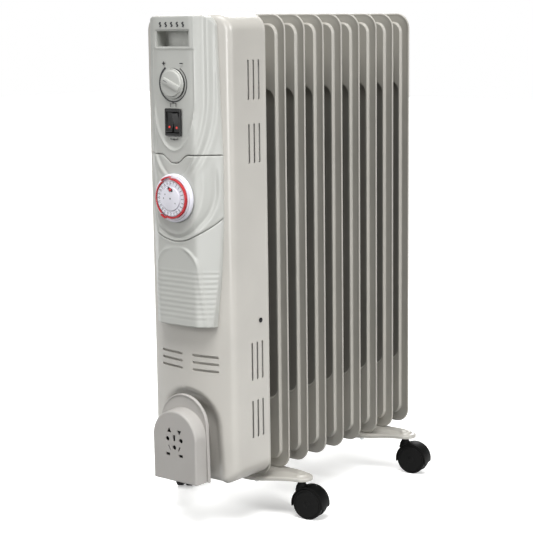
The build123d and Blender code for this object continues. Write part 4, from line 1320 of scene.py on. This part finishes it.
def makeFoot(name, node, body):
    s = footSizes
    low, high = boxOf(node)
    centreY = (low[1] + high[1]) / 2
    tipX = high[0] - s["tip"]
    top = s["top"]
    hubZ = middleOf("element_fitting")[2]
    outline = footRing(tipX)
    rings = [insetRing(outline, d) for d in (0, 0.25, 0.8, 1.8, s["roll"], 4.5)]
    for side in (-1, 1):
        rings += [circleRing(r, side * tipX, 0, 32) for r in (3.2, 6.2, 7.2, 8.2, 9.4)]
    flat, faces = fillPlan(rings, grid=(s["grid"], s["grid"]))

    def lift(points):  # the wings climb a little towards their tips
        reach = tipX - 4 - s["ridgeFrom"]
        return s["tipLift"] * smoothStep((np.abs(points[:, 0]) - s["ridgeFrom"]) / reach)

    def rise(points):
        x, y = np.abs(points[:, 0]), points[:, 1]
        z = top + lift(points) - rollOff(-distanceTo(outline, points), s["roll"])
        boss = smoothStep((9.6 - np.hypot(x - tipX, y)) / 3.0)
        dish = smoothStep((4.2 - np.hypot(x - tipX, y)) / 2.0)
        along = np.clip((x - s["ridgeFrom"]) / (tipX - s["ridgeFrom"]), 0, 1)
        width = s["ridgeHalf"] * (0.35 + 0.65 * along)
        begun = smoothStep((x - s["ridgeFrom"]) / 16) * (x < tipX + 1)
        ridge = smoothStep(1.25 - np.abs(y) / width) * begun
        return z + np.maximum(boss * s["bossRise"] - dish * 1.2, ridge * s["ridgeRise"])

    points = [(x, centreY + y, z) for (x, y), z in zip(flat, rise(flat))]
    edgeZ = rise(outline)
    rim = [(p[0], centreY + p[1], z) for p, z in zip(outline, edgeZ)]
    foot = [(p[0], centreY + p[1], s["low"] + z) for p, z in zip(outline, lift(outline))]
    pan = shellPiece(name, [(points, faces), strip(foot, rim)], footEnamel, s["sheet"], 40)
    place(pan, body, "housing_paint", node)
    saddle = roundedRing(24, 11, 2, 0, 0, spacing=2, steps=4)
    bore = 24.2
    flat, faces = fillPlan([saddle], grid=(2, 5.5))
    crest = hubZ - np.sqrt(np.maximum(bore ** 2 - flat[:, 0] ** 2, 16))
    crest = np.minimum(crest, hubZ - 6)
    upper = [(x, centreY + y, z) for (x, y), z in zip(flat, crest)]
    ringZ = np.minimum(hubZ - np.sqrt(np.maximum(bore ** 2 - saddle[:, 0] ** 2, 16)), hubZ - 6)
    high = [(p[0], centreY + p[1], z) for p, z in zip(saddle, ringZ)]
    lowRing = [(p[0], centreY + p[1], top - 1) for p in saddle]
    base = (lowRing, [tuple(reversed(range(len(lowRing))))])
    piece = makePiece(name + "Saddle", joined((upper, faces), strip(lowRing, high), base), footEnamel)
    place(piece, body, "housing_paint")


makeFoot("frontFoot", "foot_front", "heater")
makeFoot("rearFoot", "foot_rear", "heater")
print("feet ready")


# ---- casters

casterTags = ("front_left", "front_right", "rear_left", "rear_right")
casterSizes = {"wheel": 20, "hood": 22.1, "bore": 20.7, "half": 11.0, "inner": 2.3, "outer": 10.8,
               "trail": 12, "hoodFrom": -11, "hoodTo": 191, "neck": 5.0, "neckTop": 46.0}


def hoodShape():  # a curved cover over both wheels, a web between them and the neck
    s = casterSizes
    edge = 0.6
    section = [(-s["half"], s["bore"]), (-s["half"], s["hood"] - edge),
               (-s["half"] + 0.25, s["hood"] - 0.15), (-s["half"] + 0.8, s["hood"]),
               (s["half"] - 0.8, s["hood"]), (s["half"] - 0.25, s["hood"] - 0.15),
               (s["half"], s["hood"] - edge), (s["half"], s["bore"])]
    rows = []
    for angle in np.linspace(s["hoodFrom"], s["hoodTo"], 61):
        t = math.radians(angle)
        rows.append([(r * math.cos(t), across, r * math.sin(t)) for across, r in section])
    parts = [strip(b, a) for a, b in zip(rows, rows[1:])]
    count = len(section)
    parts += [(rows[0], [tuple(range(count))]), (rows[-1], [tuple(reversed(range(count)))])]
    reach = s["bore"] + 0.1
    web = lathe([(0, -2), (reach - 0.7, -2), (reach, -2), (reach, 2), (reach - 0.7, 2), (0, 2)], 64)
    web = ([(p[0], p[2], p[1]) for p in web[0]], [tuple(reversed(f)) for f in web[1]])
    keep = 6.0 - s["wheel"]
    web = ([(p[0], p[1], max(p[2], keep)) for p in web[0]], web[1])
    neckFoot = s["hood"] - 7.5
    neckTop = s["neckTop"] + datum - s["wheel"]
    neck = lathe([(0, neckFoot), (8.5, neckFoot), (7.2, s["hood"] - 1.6), (5.9, s["hood"] + 0.6),
                  (s["neck"], s["hood"] + 2.4), (s["neck"], neckTop - 0.8), (s["neck"] - 0.5, neckTop),
                  (0, neckTop)], 32)
    neckPoints = [(p[0] - s["trail"], p[1], p[2]) for p in neck[0]]
    return joined(*parts, web, (neckPoints, neck[1]))


def wheelShape(side):  # domed outer face with a groove inside the rim
    s = casterSizes
    r, a, b = s["wheel"], s["inner"], s["outer"]
    profile = [(0, a), (r - 1.2, a), (r - 0.5, a + 0.3), (r - 0.05, a + 1.2), (r, (a + b) / 2),
               (r - 0.05, b - 1.7), (r - 0.6, b - 0.8), (r - 1.7, b - 0.45), (r - 2.2, b - 0.55),
               (r - 2.7, b - 1.15), (r - 3.2, b - 1.1), (r - 3.9, b - 0.45), (r - 7, b - 0.18),
               (4.8, b), (4.3, b - 0.35), (3.8, b - 0.05), (0, b + 0.12)]
    points, faces = lathe(profile, 72)
    if side > 0:
        return [(p[0], p[2], p[1]) for p in points], [tuple(reversed(f)) for f in faces]
    return [(p[0], -p[2], p[1]) for p in points], faces


def makeCasters():
    s = casterSizes
    joints = {joint["child"]: joint for joint in frame["joints"]}
    for tag in casterTags:
        roll = joints[f"roller_a_{tag}"]
        centre = Vector(roll["pos_m"]) / mm - Vector((0, 0, datum))
        axis = Vector(roll["axis"])
        along = axis.cross(Vector((0, 0, 1)))  # from the stem to the axle
        spot = Matrix(((along.x, axis.x, 0, centre.x), (along.y, axis.y, 0, centre.y),
                       (0, 0, 1, centre.z), (0, 0, 0, 1)))
        hood = makePiece(f"hood_{tag}", moved(hoodShape(), spot), casterBlack)
        faceOutwards(hood)
        place(hood, f"swivel_{tag}", "caster_black", f"caster_hood_{tag}")
        for letter, side in (("a", -1), ("b", 1)):
            wheel = makePiece(f"tyre_{letter}_{tag}", moved(wheelShape(side), spot), casterBlack)
            faceOutwards(wheel)
            place(wheel, f"roller_{letter}_{tag}", "caster_black", f"wheel_{letter}_{tag}")


makeCasters()
print("casters ready")


# ---- side screws

screwSizes = {"radius": 2.9, "rise": 1.4, "cross": 0.7, "reach": 2.2}


def makeSideScrews():
    s = screwSizes
    low, high = boxOf("side_screws")
    middle = (low + high) / 2
    parts = []
    for side in (-1, 1):
        head = lathe([(0, -6), (1.6, -6), (1.65, 0), (s["radius"], 0), (s["radius"], 0.5), (3.1, 1.05),
                      (2.0, 1.35), (0, 1.4)], 32)
        turned = [(side * (high[0] - s["rise"] + p[2]), middle[1] + side * p[0],
                   middle[2] + p[1]) for p in head[0]]
        parts.append((turned, head[1]))
    screws = makePiece("housingScrews", joined(*parts), screwSteel)
    for side in (-1, 1):
        for reachY, reachZ in ((s["reach"], s["cross"] / 2), (s["cross"] / 2, s["reach"])):
            x = side * (high[0] - 0.3)
            corners = [(x + dx, middle[1] + dy, middle[2] + dz) for dx in (-0.5, 0.8) for dy in (-reachY,
                                                                                                 reachY)
                       for dz in (-reachZ, reachZ)]
            faces = [(0, 1, 3, 2), (4, 6, 7, 5), (0, 4, 5, 1), (2, 3, 7, 6), (0, 2, 6, 4), (1, 5, 7, 3)]
            cutWith(screws, makePiece("cross", (corners, faces), screwSteel))
    shadeMesh(screws.data, 35)
    place(screws, "heater", "zinc_steel", "side_screws")


makeSideScrews()


# ---- finishes of the pieces kept from the frame

keptFinishes = {
    "rear_plate": zincPlate, "thermostat_body": zincPlate, "thermostat_shaft": zincPlate,
    "core_screws": zincPlate, "u_bolts": zincPlate, "wing_nuts": zincPlate, "filler_plug": zincPlate,
    "thermal_cutout": zincPlate, "heating_element": elementSteel, "element_fitting": turnedBrass,
    "switch_body": blackPlasticAndShade, "cable_gland": blackPlasticAndShade, "timer_case": timerWhite,
    "terminal_block": timerWhite, "cord_core": tidyPlastic}
for tag in casterTags:
    keptFinishes[f"caster_pins_{tag}"] = zincPlate
for node, material in keptFinishes.items():
    for paintSlot in frame["nodes"][node].material_slots:
        paintSlot.material = material
print("kept pieces painted")


# ---- floor, light and camera

stageSizes = {"half": 9.0, "tone": (252, 252, 251), "glow": 0.38}


def makeStage():
    half = stageSizes["half"]
    mesh = bpy.data.meshes.new("floor")
    mesh.from_pydata([(-half, -half, 0), (half, -half, 0), (half, half, 0), (-half, half, 0)], [],
                     [(0, 1, 2, 3)])
    floor = bpy.data.objects.new("floor", mesh)
    mesh.materials.append(finish("paleFloor", stageSizes["tone"], 0.7, grain=120, bump=0.02,
                                 mottle=0.004,
                                 glow=stageSizes["glow"]))
    bpy.context.scene.collection.objects.link(floor)
    floor.visible_diffuse = False  # the floor is seen, but throws no light back up


lightSizes = {  # suns: around from the front towards the right, above the floor, strength, softness
    "sideSun": {"around": 86, "above": 18, "power": 2.1, "soft": 25},
    "topSun": {"around": 30, "above": 68, "power": 2.9, "soft": 30},
    "backSun": {"around": 215, "above": 30, "power": 1.9, "soft": 30}}
softboxSizes = {  # metres and watts; the gloss strip is seen only in the sheen of curved surfaces
    "frontSoftbox": {"place": (-0.45, -1.55, 0.95), "aim": (0, -0.2, 0.4), "wide": 0.7, "tall": 0.7,
                     "power": 9},
    "glossStrip": {"place": (1.25, -2.1, 0.7), "aim": (0, -0.2, 0.35), "wide": 0.35, "tall": 1.3,
                   "power": 40}}
worldSizes = {"seen": 1.0, "ambient": 0.13}


def makeLights():
    for name, values in lightSizes.items():
        data = bpy.data.lights.new(name, "SUN")
        data.energy = values["power"]
        data.angle = math.radians(values["soft"])
        around, above = math.radians(values["around"]), math.radians(values["above"])
        lamp = bpy.data.objects.new(name, data)
        towards = Vector((math.sin(around) * math.cos(above), -math.cos(around) * math.cos(above),
                          math.sin(above)))
        lamp.location = towards * 3
        lamp.rotation_euler = towards.to_track_quat("Z", "Y").to_euler()
        bpy.context.scene.collection.objects.link(lamp)
    for name, values in softboxSizes.items():
        data = bpy.data.lights.new(name, "AREA")
        data.shape = "RECTANGLE"
        data.size, data.size_y = values["wide"], values["tall"]
        data.energy = values["power"]
        lamp = bpy.data.objects.new(name, data)
        lamp.location = values["place"]
        lamp.rotation_euler = (Vector(values["aim"]) - lamp.location).to_track_quat("-Z", "Y").to_euler()
        lamp.visible_diffuse = name != "glossStrip"
        bpy.context.scene.collection.objects.link(lamp)
    world = bpy.data.worlds.new("studio")
    world.use_nodes = True
    tree = world.node_tree
    path = addNode(tree, "ShaderNodeLightPath")
    strength = addNode(tree, "ShaderNodeMapRange", {
        "Value": path.outputs["Is Camera Ray"], "To Min": worldSizes["ambient"],
        "To Max": worldSizes["seen"]})
    tree.nodes["Background"].inputs["Color"].default_value = (1, 1, 1, 1)
    tree.links.new(strength.outputs["Result"], tree.nodes["Background"].inputs["Strength"])
    bpy.context.scene.world = world


cameraSizes = {"azimuth": 38.433, "elevation": 9.31, "roll": -0.768,
               "place": (1.18272, -1.52095, 0.61645), "lens": 99.28, "sensor": 36.0}


def makeCamera():
    s = cameraSizes
    around, above, roll = (math.radians(s[key]) for key in ("azimuth", "elevation", "roll"))
    back = Vector((math.sin(around) * math.cos(above), -math.cos(around) * math.cos(above),
                   math.sin(above)))
    right = (-back).cross(Vector((0, 0, 1))).normalized()
    up = right.cross(-back)
    rolledRight = math.cos(roll) * right + math.sin(roll) * up
    rolledUp = math.cos(roll) * up - math.sin(roll) * right
    data = bpy.data.cameras.new("camera")
    data.lens = s["lens"]
    data.sensor_width = s["sensor"]
    data.clip_end = 50
    camera = bpy.data.objects.new("camera", data)
    turn = Matrix((rolledRight, rolledUp, back)).transposed().to_4x4()
    camera.matrix_world = Matrix.Translation(s["place"]) @ turn
    bpy.context.scene.collection.objects.link(camera)
    bpy.context.scene.camera = camera


makeStage()
makeLights()
makeCamera()
bpy.context.scene.view_settings.view_transform = "Standard"
print("stage ready")
